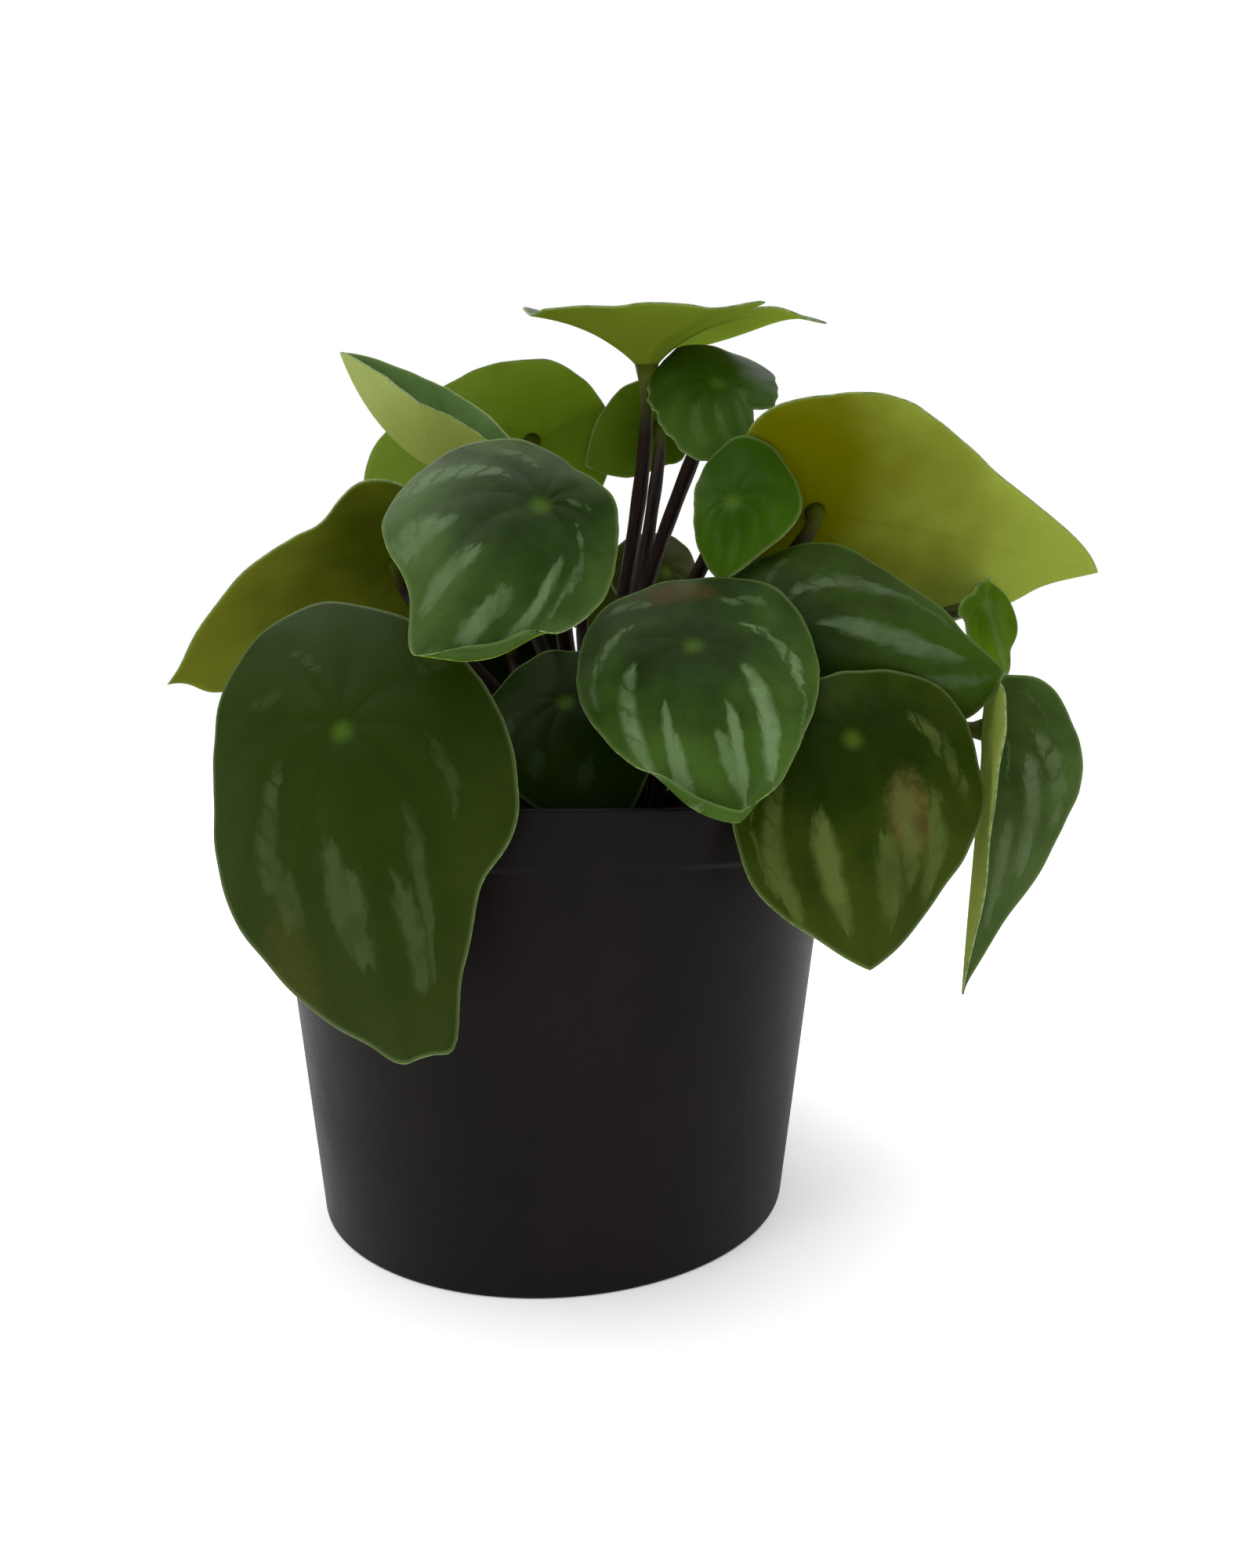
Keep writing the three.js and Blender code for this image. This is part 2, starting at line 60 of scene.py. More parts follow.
# Each leaf as in the CAD model: where its stalk meets the blade, where its tip is, which way it
# faces, its width and rear length, how it bends (degrees), and its stalk's place in the tuft
LEAVES = {
    "top": dict(
        at=(20.5, -17, 179), tip=(60, -15, 191.5), face=(0, -0.54, 1),
        width=31, back=18, arch=44, cup=26, fold=0, cone=0.98, wave=0.5, ring=0, angle=0),
    "top_young": dict(
        at=(35, -25, 172.5), tip=(40, -28, 156), face=(0.1, -0.95, 0.3),
        width=28, back=14, arch=30, cup=20, lead=0.12, ring=1, angle=-90),
    "inner_right": dict(
        at=(36.1, -39, 143.4), tip=(34.3, -38.3, 128.7), face=(-0.25, -0.92, 0.25),
        width=21, back=11.2, arch=30, cup=20, lead=0.06, ring=1, angle=-44),
    "upper_right": dict(
        at=(55, -24, 146.5), tip=(113.5, -26, 133), face=(0.15, 0.82, 0.55),
        width=51, back=18.5, arch=25, cup=18, fold=-6, point=1, lead=0.2, ring=2, angle=-38),
    "right_narrow": dict(
        at=(88, -30, 126), tip=(91.5, -31.5, 112), face=(0.57, -0.8, 0.2),
        width=22, back=6, arch=-22, cup=-30, fold=-33, lead=0.12, lift=0.42, ring=2, angle=-5),
    "middle_right": dict(
        at=(45, -45, 118.5), tip=(83.5, -49, 110), face=(0.1, -0.98, -0.1),
        width=41, back=15, cup=20, fold=-22, ring=2, angle=-68),
    "front_right": dict(
        at=(54.5, -55.5, 97.5), tip=(56, -60.5, 59.5), face=(0.05, -0.93, 0.3),
        width=44, back=13, cup=6, lift=0.3, ring=3, angle=-48),
    "front_middle": dict(
        at=(27.5, -55, 113.5), tip=(33.5, -67, 84), face=(0, -0.93, 0.36),
        width=42, back=17, arch=25, cup=12, lift=0.55, ring=3, angle=-62),
    "upper_front": dict(
        at=(2.5, -64.8, 134.1), tip=(-14.3, -72.4, 108.5), face=(0.12, -0.9, 0.42),
        width=38.5, back=13.1, cup=14, lift=0.75, ring=2, angle=-118),
    "front_left": dict(
        at=(-27.5, -69, 98), tip=(-16, -75, 50.5), face=(-0.1, -0.93, 0.3),
        width=48, back=21, cup=14, sweep=-0.12, point=0.7, ring=3, angle=-120),
    "left_side": dict(
        at=(-34, -15, 138.5), tip=(-86, -15, 110.5), face=(-0.45, 0.62, 0.62),
        width=36, back=18, arch=25, cup=20, point=1.1, ring=2, angle=-150),
    "upper_left": dict(
        at=(-24, -13, 159), tip=(-46, -15, 184), face=(0.24, -0.57, 0.78),
        width=33, back=21.5, arch=-59, fold=66, point=0.55, lift=0.6, lead=0.1, ring=1, angle=-150),
    "back_left_high": dict(
        at=(-8.5, 20, 179.5), tip=(-50, 15, 166), face=(0, 0.7, 0.7),
        width=46, back=21, cup=20, ring=1, angle=150),
    "back_high": dict(
        at=(24.5, 21, 183), tip=(5.5, 17, 171.5), face=(-0.1, 0.8, 0.5),
        width=30, back=12, arch=30, cup=20, lead=0.12, ring=1, angle=30),
    "back_middle": dict(
        at=(26.5, 25, 146.5), tip=(29, 27, 126), face=(0, -0.3, 0.95),
        width=30, back=13, arch=30, cup=20, ring=1, angle=90),
    "inner_front": dict(
        at=(4.6, -38.5, 105.5), tip=(12.1, -46, 79.5), face=(-0.05, -0.85, 0.5),
        width=36, back=15, arch=30, cup=12, ring=3, angle=-95),
    "inner_rear": dict(
        at=(-15, 29, 128), tip=(-13, 45, 104), face=(0, 0.8, 0.6),
        width=34, back=14, arch=25, cup=12, ring=2, angle=138),
    "left_low": dict(
        at=(-72, 3, 107), tip=(-82, 5, 97.5), face=(-0.5, -0.5, 0.7),
        width=24, back=10, arch=30, cup=12, ring=3, angle=-178),
    "far_right": dict(
        at=(85.5, -36, 100.5), tip=(79.5, -38, 49), face=(0.62, -0.74, 0.15),
        width=40, back=11, arch=5, fold=38, point=1.1, ring=3, angle=-24),
    "rear_left_low": dict(
        at=(-25, 62, 106), tip=(-36, 88, 62), face=(-0.1, 0.85, 0.5),
        width=42, back=15, cup=10, ring=3, angle=122),
    "rear_low": dict(
        at=(16, 70, 108), tip=(20, 96, 60), face=(0.1, 0.9, 0.4),
        width=44, back=15, cup=10, ring=3, angle=86),
    "rear_right_low": dict(
        at=(54, 48, 108), tip=(76, 66, 64), face=(0.6, 0.6, 0.5),
        width=42, back=14, cup=10, ring=3, angle=46),
    "rear_left": dict(
        at=(-56, 34, 112), tip=(-80, 48, 72), face=(-0.7, 0.4, 0.5),
        width=40, back=14, cup=10, ring=3, angle=160),
    "rear_middle": dict(
        at=(3, 44, 152), tip=(4, 84, 141), face=(0, 0.3, 0.9),
        width=40, back=14, arch=30, cup=10, ring=2, angle=112),
    "rear_right": dict(
        at=(45, 47, 134), tip=(67, 69, 102), face=(0.4, 0.8, 0.5),
        width=42, back=16, arch=30, cup=10, ring=2, angle=52),
    "rear_left_middle": dict(
        at=(-42, 26, 132), tip=(-72, 52, 112), face=(-0.3, 0.3, 0.9),
        width=38, back=13, arch=30, cup=10, ring=2, angle=165),
}
PLAIN_LEAF = dict(
    arch=20, cup=0, fold=-8, cone=0, wave=0, sweep=0, point=0.85, lift=0.45, lead=0.3,
)

# How finely the pieces are divided, and the rounding of the pot's edges. A ring_power below 1
# draws a blade's rings together towards its margin.
FINE = dict(
    sectors=160, rings=26, ring_power=0.85, stalk_sides=16, stalk_steps=44,
    pot_sides=192, pot_rounding=0.7, drain_sides=40, soil_sides=144, soil_rings=44,
)

# The bores that cut the drain holes, from below the pot to inside it
BORE_HEIGHTS = (-2, 8)

# The soil's top lies a little under the CAD model's, as crumbs cover it, and is rough
SOIL_TOP = dict(sunk=0.4, roughness=0.16)

# A blade thins by this share towards its margin, where its rounded rim stands out a little
EDGE = dict(thinning=0.5, rim=0.18)

# A blade's relief: heights in millimetres, a vein's spread as a share of the way to the next
# vein, and how many waves and ripples go round the blade
RELIEF = dict(
    vein_depth=0.06, vein_spread=0.11, swelling=0.12, navel_depth=0.45, navel_radius=2.6,
    wave_heights=(0.35, 0.7), waves=4, ripple_height=0.12, ripples=13,
)

# A ragged outline is made of waves: how many there are round the blade, and how high each is
RAGGED_WAVES = ((5, 1), (11, 0.7), (23, 0.5))

# A stalk's head: how far below the blade its line ends, how long it flares and how steeply, how
# much it widens, and how deep it lies in the blade at which share of the way out
FLARE = dict(end_below=0.45, length=4.5, power=2.2, widening=0.5, sunk=0.3, reach=0.1)

# Each leaf takes its noise from another place, its seed times this
NOISE_SHIFT = dict(blade=40, stalk=10)

# A blade's main veins leave its stalk at these angles from the midrib (degrees) and are drawn
# towards the tip by VEIN_PULL, which grows on the way out by a power. The last entry is the
# middle of the rear, between two veins.
VEIN_ANGLES = (0, 50, 96, 136, 168, 180)
VEIN_PLACES = (0, 1, 2, 3, 4, 4.5)
VEIN_PULL = 0.93
VEIN_PULL_GROWTH = 1.15

# The camera as fitted to the pot's outline in the photo
CAMERA = dict(place=(0.0162, -0.197, 0.09), sensor_width=36, focal_pixels=1064, photo_pixels=2000)
FLOOR_RADIUS = 8.0

# How each leaf differs in looks. deep and fresh are its upper side's two greens, silver the
# stripes' colour and shine their strength. Each stripe goes from one place to another, each a
# vein place and a share of the way out, with its half width and its strength; a leaf that lists
# none gets its own by rule. under and glow are the lower side's colours at the stalk and at the
# tip: the glow is partly a paler tip and partly painted light shining through the blade, and some
# leaves have their colours painted paler where light shines through them and darker where they
# lie in shade. ragged is how uneven the outline is, as a share of the radius. Each swell of the
# outline is an angle from the midrib, a spread (degrees) and a share of the radius. Each curl of
# the margin is an angle, a spread, where it begins on the way out, and how far it rolls (degrees).
# Each brown stain is a place along and across the blade, its length, its width and its colour.
PLAIN_LOOK = dict(
    deep=(26, 46, 6), fresh=(44, 68, 16), silver=(92, 114, 74), shine=0.8, stripes=(),
    under=(78, 104, 18), glow=(118, 142, 44), brown=(), curls=(), swells=(), ragged=0.004,
)
LOOKS = {
    "top": dict(
        # Its lower side is painted pale for light shining through the blade from above
        under=(106, 122, 30), glow=(130, 152, 46),
        swells=((270, 20, 0.12), (321, 5, 0.12), (327, 4, -0.08)),
        curls=((60, 40, 0.3, -75),)),
    "top_young": dict(
        deep=(42, 68, 6), fresh=(62, 88, 26), silver=(90, 112, 60), shine=0.35, ragged=0.025,
        swells=((172, 49, 0.23), (130, 17, 0.31), (134, 28, 0.28), (33, 22, -0.31), (326, 30, 0.29))),
    "inner_right": dict(
        deep=(38, 66, 0), fresh=(54, 84, 6), shine=0.1,
        swells=((95, 50, 0.2), (180, 45, 0.3), (275, 40, -0.28)),
        curls=((172, 34, 0.6, 40),)),
    "upper_right": dict(
        under=(88, 90, 0), glow=(142, 154, 60),
        swells=((227, 25, 0.17), (332, 41, -0.11), (0, 13, 0.08), (5, 6, -0.06)),
        curls=((214, 22, 0.55, 50),)),
    "right_narrow": dict(
        deep=(56, 84, 2), fresh=(80, 110, 12), shine=0, under=(80, 108, 8), glow=(92, 124, 16),
        swells=((84, 28, 0.8), (35, 18, 0.3), (232, 55, -0.5), (300, 22, -0.35))),
    "middle_right": dict(
        deep=(26, 42, 8), fresh=(50, 72, 12), silver=(84, 100, 70), shine=1,
        stripes=(
            (2.28, 0.34, 1.5, 0.83, 0.34, 0.65), (1.44, 0.84, 1.1, 0.92, 0.16, 0.3),
            (0.40, 0.25, 0.12, 0.78, 0.34, 0.8), (-0.54, 0.6, -0.44, 0.92, 0.18, 0.4),
            (3.17, 0.62, 3.0, 0.81, 0.16, 0.25)),
        swells=((45, 28, -0.1), (10, 8, -0.07), (345, 10, 0.12))),
    "front_right": dict(
        deep=(24, 40, 0), fresh=(52, 66, 8), silver=(90, 104, 48), shine=1,
        stripes=(
            (-1.9, 0.58, -1.45, 0.94, 0.32, 0.65), (-0.77, 0.46, -0.58, 0.86, 0.32, 0.8),
            (0.35, 0.5, 0.6, 0.85, 0.32, 0.5), (1.1, 0.38, 1.0, 0.8, 0.32, 0.45),
            (1.7, 0.62, 1.43, 0.92, 0.28, 0.5), (2.8, 0.56, 2.4, 0.84, 0.32, 0.45),
            (-2.05, 0.86, -1.74, 0.9, 0.16, 0.4)),
        swells=((122, 32, 0.26), (325, 16, 0.1), (62, 14, 0.06), (40, 12, 0.02)),
        curls=((124, 28, 0.72, 36),),
        brown=((13, 8.5, 10, 5.5, (92, 84, 40)), (15, 10, 3, 2.4, (62, 50, 14)))),
    "front_middle": dict(
        deep=(26, 44, 6), fresh=(64, 90, 30), silver=(104, 126, 84), shine=1,
        under=(96, 130, 46), glow=(124, 152, 76),
        stripes=(
            (-3.3, 0.61, -2.82, 0.84, 0.2, 0.7), (-2.71, 0.84, -2.5, 0.89, 0.16, 0.3),
            (-2.25, 0.5, -1.57, 0.95, 0.3, 0.9), (-1.02, 0.52, -0.95, 0.92, 0.16, 0.8),
            (-0.8, 0.62, -0.93, 0.92, 0.16, 0.8), (0.36, 0.46, 0.3, 0.86, 0.2, 0.85),
            (0.02, 0.5, 0.2, 0.8, 0.16, 0.6), (1.4, 0.42, 1.12, 0.92, 0.3, 1.0),
            (2.88, 0.52, 2.2, 0.89, 0.22, 0.8), (2.13, 0.92, 1.87, 0.98, 0.14, 0.3),
            (-3.98, 0.7, -3.78, 0.89, 0.16, 0.35), (3.59, 0.62, 3.41, 0.82, 0.16, 0.35)),
        swells=((154, 40, 0.3), (218, 24, 0.16), (75, 25, 0.05), (350, 18, 0.18)),
        curls=((350, 20, 0.84, 230), (125, 30, 0.7, 40)),
        brown=((-15.5, 1, 5, 10, (68, 54, 24)),)),
    "upper_front": dict(
        deep=(26, 44, 6), fresh=(64, 86, 36), silver=(96, 116, 78), shine=1,
        stripes=(
            (-2.69, 0.42, -2.6, 0.97, 0.22, 0.5), (-1.55, 0.55, -1.87, 0.97, 0.26, 0.75),
            (-0.47, 0.48, -0.92, 0.9, 0.24, 0.7), (0.42, 0.56, 0.45, 0.78, 0.22, 0.9),
            (0.5, 0.5, 0.65, 0.62, 0.16, 0.5), (1.5, 0.5, 1.1, 0.84, 0.24, 0.9),
            (2.45, 0.48, 1.68, 0.8, 0.2, 0.5), (3.42, 0.36, 3.3, 0.62, 0.18, 0.35),
            (-3.55, 0.56, -3.34, 0.8, 0.18, 0.3)),
        swells=((262, 50, 0.33), (300, 20, 0.08), (337, 14, -0.08), (105, 45, -0.24),
                (180, 28, -0.14), (16, 16, 0.2)),
        curls=((18, 18, 0.82, 240),)),
    "front_left": dict(
        deep=(32, 50, 4), fresh=(43, 56, 12), silver=(72, 86, 50), shine=1,
        stripes=(
            (-2.1, 0.45, -1.83, 0.63, 0.34, 0.5), (-1.76, 0.63, -1.66, 0.75, 0.34, 0.55),
            (-1.36, 0.66, -1.45, 0.79, 0.2, 0.4), (-0.57, 0.42, -0.58, 0.7, 0.22, 0.55),
            (-0.32, 0.48, -0.43, 0.75, 0.2, 0.6), (0.22, 0.5, 0.36, 0.8, 0.14, 0.6),
            (0.66, 0.48, 0.54, 0.76, 0.2, 0.5), (1.85, 0.53, 1.6, 0.62, 0.26, 0.3),
            (1.6, 0.6, 1.45, 0.67, 0.16, 0.3), (-4.3, 0.45, -4.1, 0.66, 0.16, 0.25),
            (-3.5, 0.52, -3.38, 0.68, 0.16, 0.25), (3.15, 0.72, 3.25, 0.9, 0.16, 0.25)),
        swells=((204, 50, 0.3), (296, 32, 0.13), (8, 3, 0.12), (4, 3, 0.04), (358, 4, 0.03),
                (26, 12, -0.12)),
        brown=((34, -17, 14, 6, (60, 62, 16)),)),
    "left_side": dict(
        under=(60, 67, 6), glow=(108, 114, 32),
        swells=((110, 27, 0.53), (0, 6, -0.05), (351, 6, 0.12))),
    "upper_left": dict(
        # A young pale leaf, its greens painted paler still for light shining through it
        deep=(82, 108, 56), fresh=(92, 120, 64), silver=(112, 134, 90), shine=0.2,
        under=(128, 138, 64), glow=(144, 156, 88)),
    "back_left_high": dict(
        under=(102, 128, 26), glow=(130, 154, 54), swells=((13, 10, 0.05), (95, 15, -0.05))),
    "back_high": dict(
        under=(62, 84, 6), glow=(84, 112, 24),
        swells=((86, 15, -0.11), (285, 45, -0.4), (220, 30, -0.3))),
    "back_middle": dict(deep=(46, 50, 8), fresh=(54, 58, 12), shine=0.1),
    "inner_front": dict(
        # Its greens and silver are painted dark for the deep shade it lies in behind the front leaves
        deep=(18, 34, 0), fresh=(28, 44, 2), silver=(50, 66, 40), shine=0.6,
        stripes=(
            (-1.27, 0.55, -1.53, 0.75, 0.24, 0.8), (0.13, 0.48, -0.12, 0.62, 0.24, 0.8),
            (-2.49, 0.54, -2.46, 0.75, 0.24, 0.8)),
        swells=((80, 12, -0.1),)),
    # The lower sides of these two leaves at the back are painted dark for the shade they lie in
    "inner_rear": dict(under=(18, 26, 2), glow=(22, 30, 4)),
    "rear_middle": dict(under=(36, 40, 8), glow=(44, 48, 10)),
    "far_right": dict(
        deep=(38, 56, 12), fresh=(72, 92, 44), silver=(100, 116, 80), shine=1,
        stripes=(
            (1.5, 0.26, 1.0, 0.34, 0.2, 0.3), (0.68, 0.58, 0.56, 0.86, 0.24, 0.55),
            (1.7, 0.46, 1.2, 0.84, 0.4, 0.6), (2.4, 0.55, 2.0, 0.92, 0.36, 0.5),
            (3.4, 0.7, 3.1, 0.72, 0.18, 0.25), (-0.6, 0.5, -0.5, 0.88, 0.24, 0.5),
            (-1.6, 0.45, -1.4, 0.85, 0.22, 0.5)),
        under=(124, 142, 62), glow=(172, 188, 88),
        swells=((130, 22, 0.2), (35, 30, -0.08), (11, 8, -0.05))),
}


# Shader graphs

def srgb(red, green, blue):
    """A colour as a picture shows it, 0 to 255, as the linear colour that shaders use."""
    def linear(value):
        share = value / 255
        return share / 12.92 if share <= 0.04045 else ((share + 0.055) / 1.055) ** 2.4
    return (linear(red), linear(green), linear(blue), 1)


def darker(tone, share):
    return tuple(share * value for value in tone)


class Graph:
    """The shader nodes of a new material, or world, added and linked by plain calls that return
    sockets. A value that a call takes may be a socket or a constant."""

    def __init__(self, name, family="materials"):
        self.owner = getattr(bpy.data, family).new(name)
        self.owner.use_nodes = True
        self.tree = self.owner.node_tree
        self.tree.nodes.clear()

    def feed(self, socket, value):
        if isinstance(value, bpy.types.NodeSocket):
            self.tree.links.new(value, socket)
        else:
            socket.default_value = value

    def add(self, kind, inputs, output=0, **settings):
        """Adds a node, sets it, feeds its inputs by number or name, and gives one output."""
        made = self.tree.nodes.new(kind)
        for key, value in settings.items():
            setattr(made, key, value)
        for key, value in inputs.items():
            self.feed(made.inputs[key], value)
        return made.outputs[output]

    def attribute(self, name, output="Fac"):
        return self.add("ShaderNodeAttribute", {}, output, attribute_name=name)

    def place(self):
        """The point on the object, in metres."""
        return self.add("ShaderNodeTexCoord", {}, "Object")

    def math(self, operation, first, second=0.0):
        return self.add("ShaderNodeMath", {0: first, 1: second}, operation=operation)

    def times(self, first, second):
        return self.math("MULTIPLY", first, second)

    def plus(self, first, second):
        return self.math("ADD", first, second)

    def weighed(self, first, first_weight, second, second_weight):
        """The sum of two values, each times its weight."""
        return self.plus(self.times(first, first_weight), self.times(second, second_weight))

    def between(self, value):
        """0 where the value is a whole number, rising to 1 midway between two."""
        return self.times(self.math("PINGPONG", value, 0.5), 2)

    def rise(self, value, low, high, start=0.0, end=1.0):
        """From start to end, smoothly, as value goes from low to high."""
        inputs = dict(enumerate((value, low, high, start, end)))
        return self.add("ShaderNodeMapRange", inputs, interpolation_type="SMOOTHSTEP")

    def blend(self, share, first, second):
        """From one colour to another. Each is a socket, or a tone of 0 to 255."""
        first, second = (srgb(*tone) if isinstance(tone, tuple) else tone for tone in (first, second))
        return self.add("ShaderNodeMix", {0: share, 6: first, 7: second}, 2, data_type="RGBA")

    def joined(self, *parts):
        return self.add("ShaderNodeCombineXYZ", dict(enumerate(parts)))

    def part(self, vector, axis):
        return self.add("ShaderNodeSeparateXYZ", {0: vector}, axis)

    def dot(self, vector, fixed):
        return self.add("ShaderNodeVectorMath", {0: vector, 1: fixed}, "Value", operation="DOT_PRODUCT")

    def scaled(self, vector, scale):
        return self.add("ShaderNodeVectorMath", {0: vector, 1: scale}, operation="MULTIPLY")

    def noise(self, vector, scale, detail=2.0, roughness=0.5):
        inputs = {"Vector": vector, "Scale": scale, "Detail": detail, "Roughness": roughness}
        return self.add("ShaderNodeTexNoise", inputs, "Fac")

    def cells(self, vector, scale):
        """The distance to the nearest of many scattered points."""
        return self.add("ShaderNodeTexVoronoi", {"Vector": vector, "Scale": scale}, "Distance")

    def bump(self, height, distance, **below):
        """A normal tipped by a height. Normal= gives the normal that it starts from."""
        return self.add("ShaderNodeBump", {"Height": height, "Distance": distance, **below})

    def finish(self, colour, roughness, **others):
        """The Principled shader. Its other inputs go by name, with _ for a space."""
        inputs = {name.replace("_", " "): value for name, value in others.items()}
        inputs.update({"Base Color": colour, "Roughness": roughness})
        return self.end(self.add("ShaderNodeBsdfPrincipled", inputs), "ShaderNodeOutputMaterial")

    def end(self, shader, kind):
        output = self.tree.nodes.new(kind)
        self.feed(output.inputs["Surface"], shader)
        return self.owner


def flesh(weight, radius):
    """Light that spreads a little way under the skin of a leaf or a stalk."""
    return dict(Subsurface_Weight=weight, Subsurface_Radius=radius, Subsurface_Scale=MM)


def leaf_upper(blade):
    """The upper side: deep green, with silver stripes between the veins and a pale rim line."""
    look = blade.look
    graph = Graph(f"leaf_upper_{blade.name}")
    reach, margin, distance, vein = map(graph.attribute, ("reach", "margin", "distance", "vein"))
    flat = graph.attribute("flat", "Vector")
    signed_vein = graph.times(vein, graph.math("SIGN", graph.part(flat, "Y")))
    patches = graph.noise(flat, 0.09, 3)
    grain = graph.noise(flat, 2.6, 2)

    # Streaks along the veins feather the stripes' sides and ends
    lengthwise = graph.joined(
        graph.times(signed_vein, 2.6), graph.times(distance, 0.07), graph.attribute("seed"))
    streaks = graph.plus(graph.noise(lengthwise, 2.4, 3, 0.65), -0.5)
    ragged = graph.plus(graph.noise(flat, 0.5, 3, 0.6), -0.5)
    strayed = graph.plus(signed_vein, graph.weighed(streaks, 0.24, ragged, 0.2))
    frayed = graph.plus(reach, graph.times(streaks, 0.2))
    spot = graph.joined(strayed, frayed, 1)
    shine = 0
    for stripe in look["stripes"] or ruled_stripes(blade.name):
        shine = graph.math("MAXIMUM", shine, lens(graph, spot, *stripe))

    # Thin cross veins cut the outer stripes into beads
    cross_vein = graph.between(graph.weighed(distance, 0.3, ragged, 0.9))
    gap = graph.rise(cross_vein, 0.05, 0.4, 1, 0)
    bead = graph.math("SUBTRACT", 1.0, graph.times(gap, graph.rise(vein, 1.2, 2.4, 0, 0.85)))
    uneven = graph.rise(graph.noise(flat, 0.16, 3), 0.34, 0.56, 0.6 * look["shine"], look["shine"])
    shine = graph.times(graph.times(shine, bead), uneven)

    outward = graph.weighed(reach, 0.35, graph.attribute("lengthwise"), 0.25)
    light = graph.rise(graph.plus(graph.times(patches, 0.7), outward), 0.35, 0.95)
    green = graph.blend(light, look["deep"], look["fresh"])
    line = graph.times(
        graph.rise(graph.between(vein), 0.0, 0.6, 0.12, 0), graph.rise(reach, 0.04, 0.3))
    green = graph.blend(line, green, darker(look["deep"], 0.7))
    for along, across, length, width, tone in look["brown"]:
        green = graph.blend(stain(graph, flat, along, across, length, width), green, tone)
    green = graph.blend(shine, green, look["silver"])
    navel = graph.rise(graph.plus(distance, graph.times(ragged, 0.8)), 0.2, 2.7, 0.42, 0)
    green = graph.blend(navel, green, (86, 112, 32))
    green = graph.blend(graph.rise(margin, 0.1, 0.7, 0.45, 0), green, (100, 120, 68))
    green = graph.blend(graph.rise(grain, 0.3, 0.75, 0.0, 0.12), green, (14, 22, 4))

    roughness = graph.rise(graph.weighed(grain, 0.4, shine, 0.4), 0, 1, 0.36, 0.52)
    pores = graph.bump(graph.cells(flat, 3.2), 0.00005)
    return graph.finish(
        green, roughness, Normal=graph.bump(graph.times(shine, -1), 0.00012, Normal=pores),
        Specular_IOR_Level=0.04, **flesh(0.12, (0.6, 1.0, 0.25)))


def lens(graph, spot, from_vein, from_reach, to_vein, to_reach, half_width, strength):
    """One stripe, pointed at both ends, and a little longer than listed because its ends fade.
    spot holds the vein place, the reach and a one, so a dot product gives a place along the
    stripe or across it."""
    middle = (from_reach + to_reach) / 2
    half_length = (to_reach - from_reach) * 0.56 + 0.03
    slope = (to_vein - from_vein) / (to_reach - from_reach)
    centre = (from_vein + to_vein) / 2 - slope * middle
    along = graph.dot(spot, (0, 1 / half_length, -middle / half_length))
    across = graph.dot(spot, (1 / half_width, -slope / half_width, -centre / half_width))
    outward = graph.plus(graph.math("POWER", along, 4), graph.math("ABSOLUTE", across))
    return graph.rise(outward, 0.3, 1.15, strength, 0)


def own_random(name, turn=0):
    """Random draws that belong to one leaf, the same in every run."""
    return np.random.default_rng(sum(map(ord, name)) + turn)


def ruled_stripes(name):
    """Stripes for a leaf that lists none: one midway between each two veins, weaker outwards."""
    random = own_random(name, 5)
    outermost = 3.5
    stripes = []
    for place in np.arange(-outermost, outermost + 1):
        outward = abs(place) / outermost
        begins = random.uniform(0.36, 0.48)
        ends = random.uniform(0.82, 0.95) - 0.1 * outward
        drift = random.uniform(-0.12, 0.12)
        drawn_in = place * random.uniform(0.02, 0.1)
        strength = random.uniform(0.65, 1) * (1 - 0.6 * outward ** 2)
        stripes.append((
            place + drift + drawn_in, begins, place + drift - drawn_in, ends,
            random.uniform(0.2, 0.32), strength))
    return stripes


def stain(graph, flat, along, across, length, width):
    """A soft patch on the blade round a place in millimetres, with a torn edge."""
    first = graph.times(graph.plus(graph.part(flat, "X"), -along), 1 / length)
    second = graph.times(graph.plus(graph.part(flat, "Y"), -across), 1 / width)
    round_about = graph.plus(graph.times(first, first), graph.times(second, second))
    worn = graph.plus(round_about, graph.times(graph.noise(flat, 0.55, 5, 0.7), 1.8))
    return graph.rise(worn, 0.8, 1.9, 0.8, 0)


def leaf_under(blade):
    """The lower side: smooth, paler and yellower, with faint veins and a painted glow of light
    shining through towards the tip.
    """
    look = blade.look
    graph = Graph(f"leaf_under_{blade.name}")
    reach, margin, distance, vein = map(graph.attribute, ("reach", "margin", "distance", "vein"))
    flat = graph.attribute("flat", "Vector")
    patches = graph.noise(flat, 0.045, 2)
    grain = graph.noise(flat, 2.2, 2)

    # Lighter towards the tip: partly a paler tip, partly painted light shining through the blade
    outward = graph.weighed(graph.attribute("lengthwise"), 0.55, reach, 0.25)
    light = graph.rise(graph.plus(graph.times(patches, 0.7), outward), 0.35, 1.0)
    colour = graph.blend(light, look["under"], look["glow"])
    ribs = graph.times(
        graph.rise(graph.between(vein), 0.0, 0.16, 0.14, 0), graph.rise(reach, 0.03, 0.9, 1, 0.2))
    colour = graph.blend(ribs, colour, darker(look["under"], 0.8))
    colour = graph.blend(graph.rise(distance, 1.4, 3.4, 0.35, 0), colour, (66, 62, 16))
    colour = graph.blend(graph.rise(margin, 0.1, 0.7, 0.2, 0), colour, (128, 144, 72))
    colour = graph.blend(graph.rise(grain, 0.35, 0.75, 0, 0.06), colour, (50, 62, 10))
    return graph.finish(
        colour, graph.rise(grain, 0.2, 0.8, 0.42, 0.55),
        Normal=graph.bump(graph.cells(flat, 2.8), 0.00003),
        Specular_IOR_Level=0.0, **flesh(0.2, (0.8, 1.0, 0.2)))


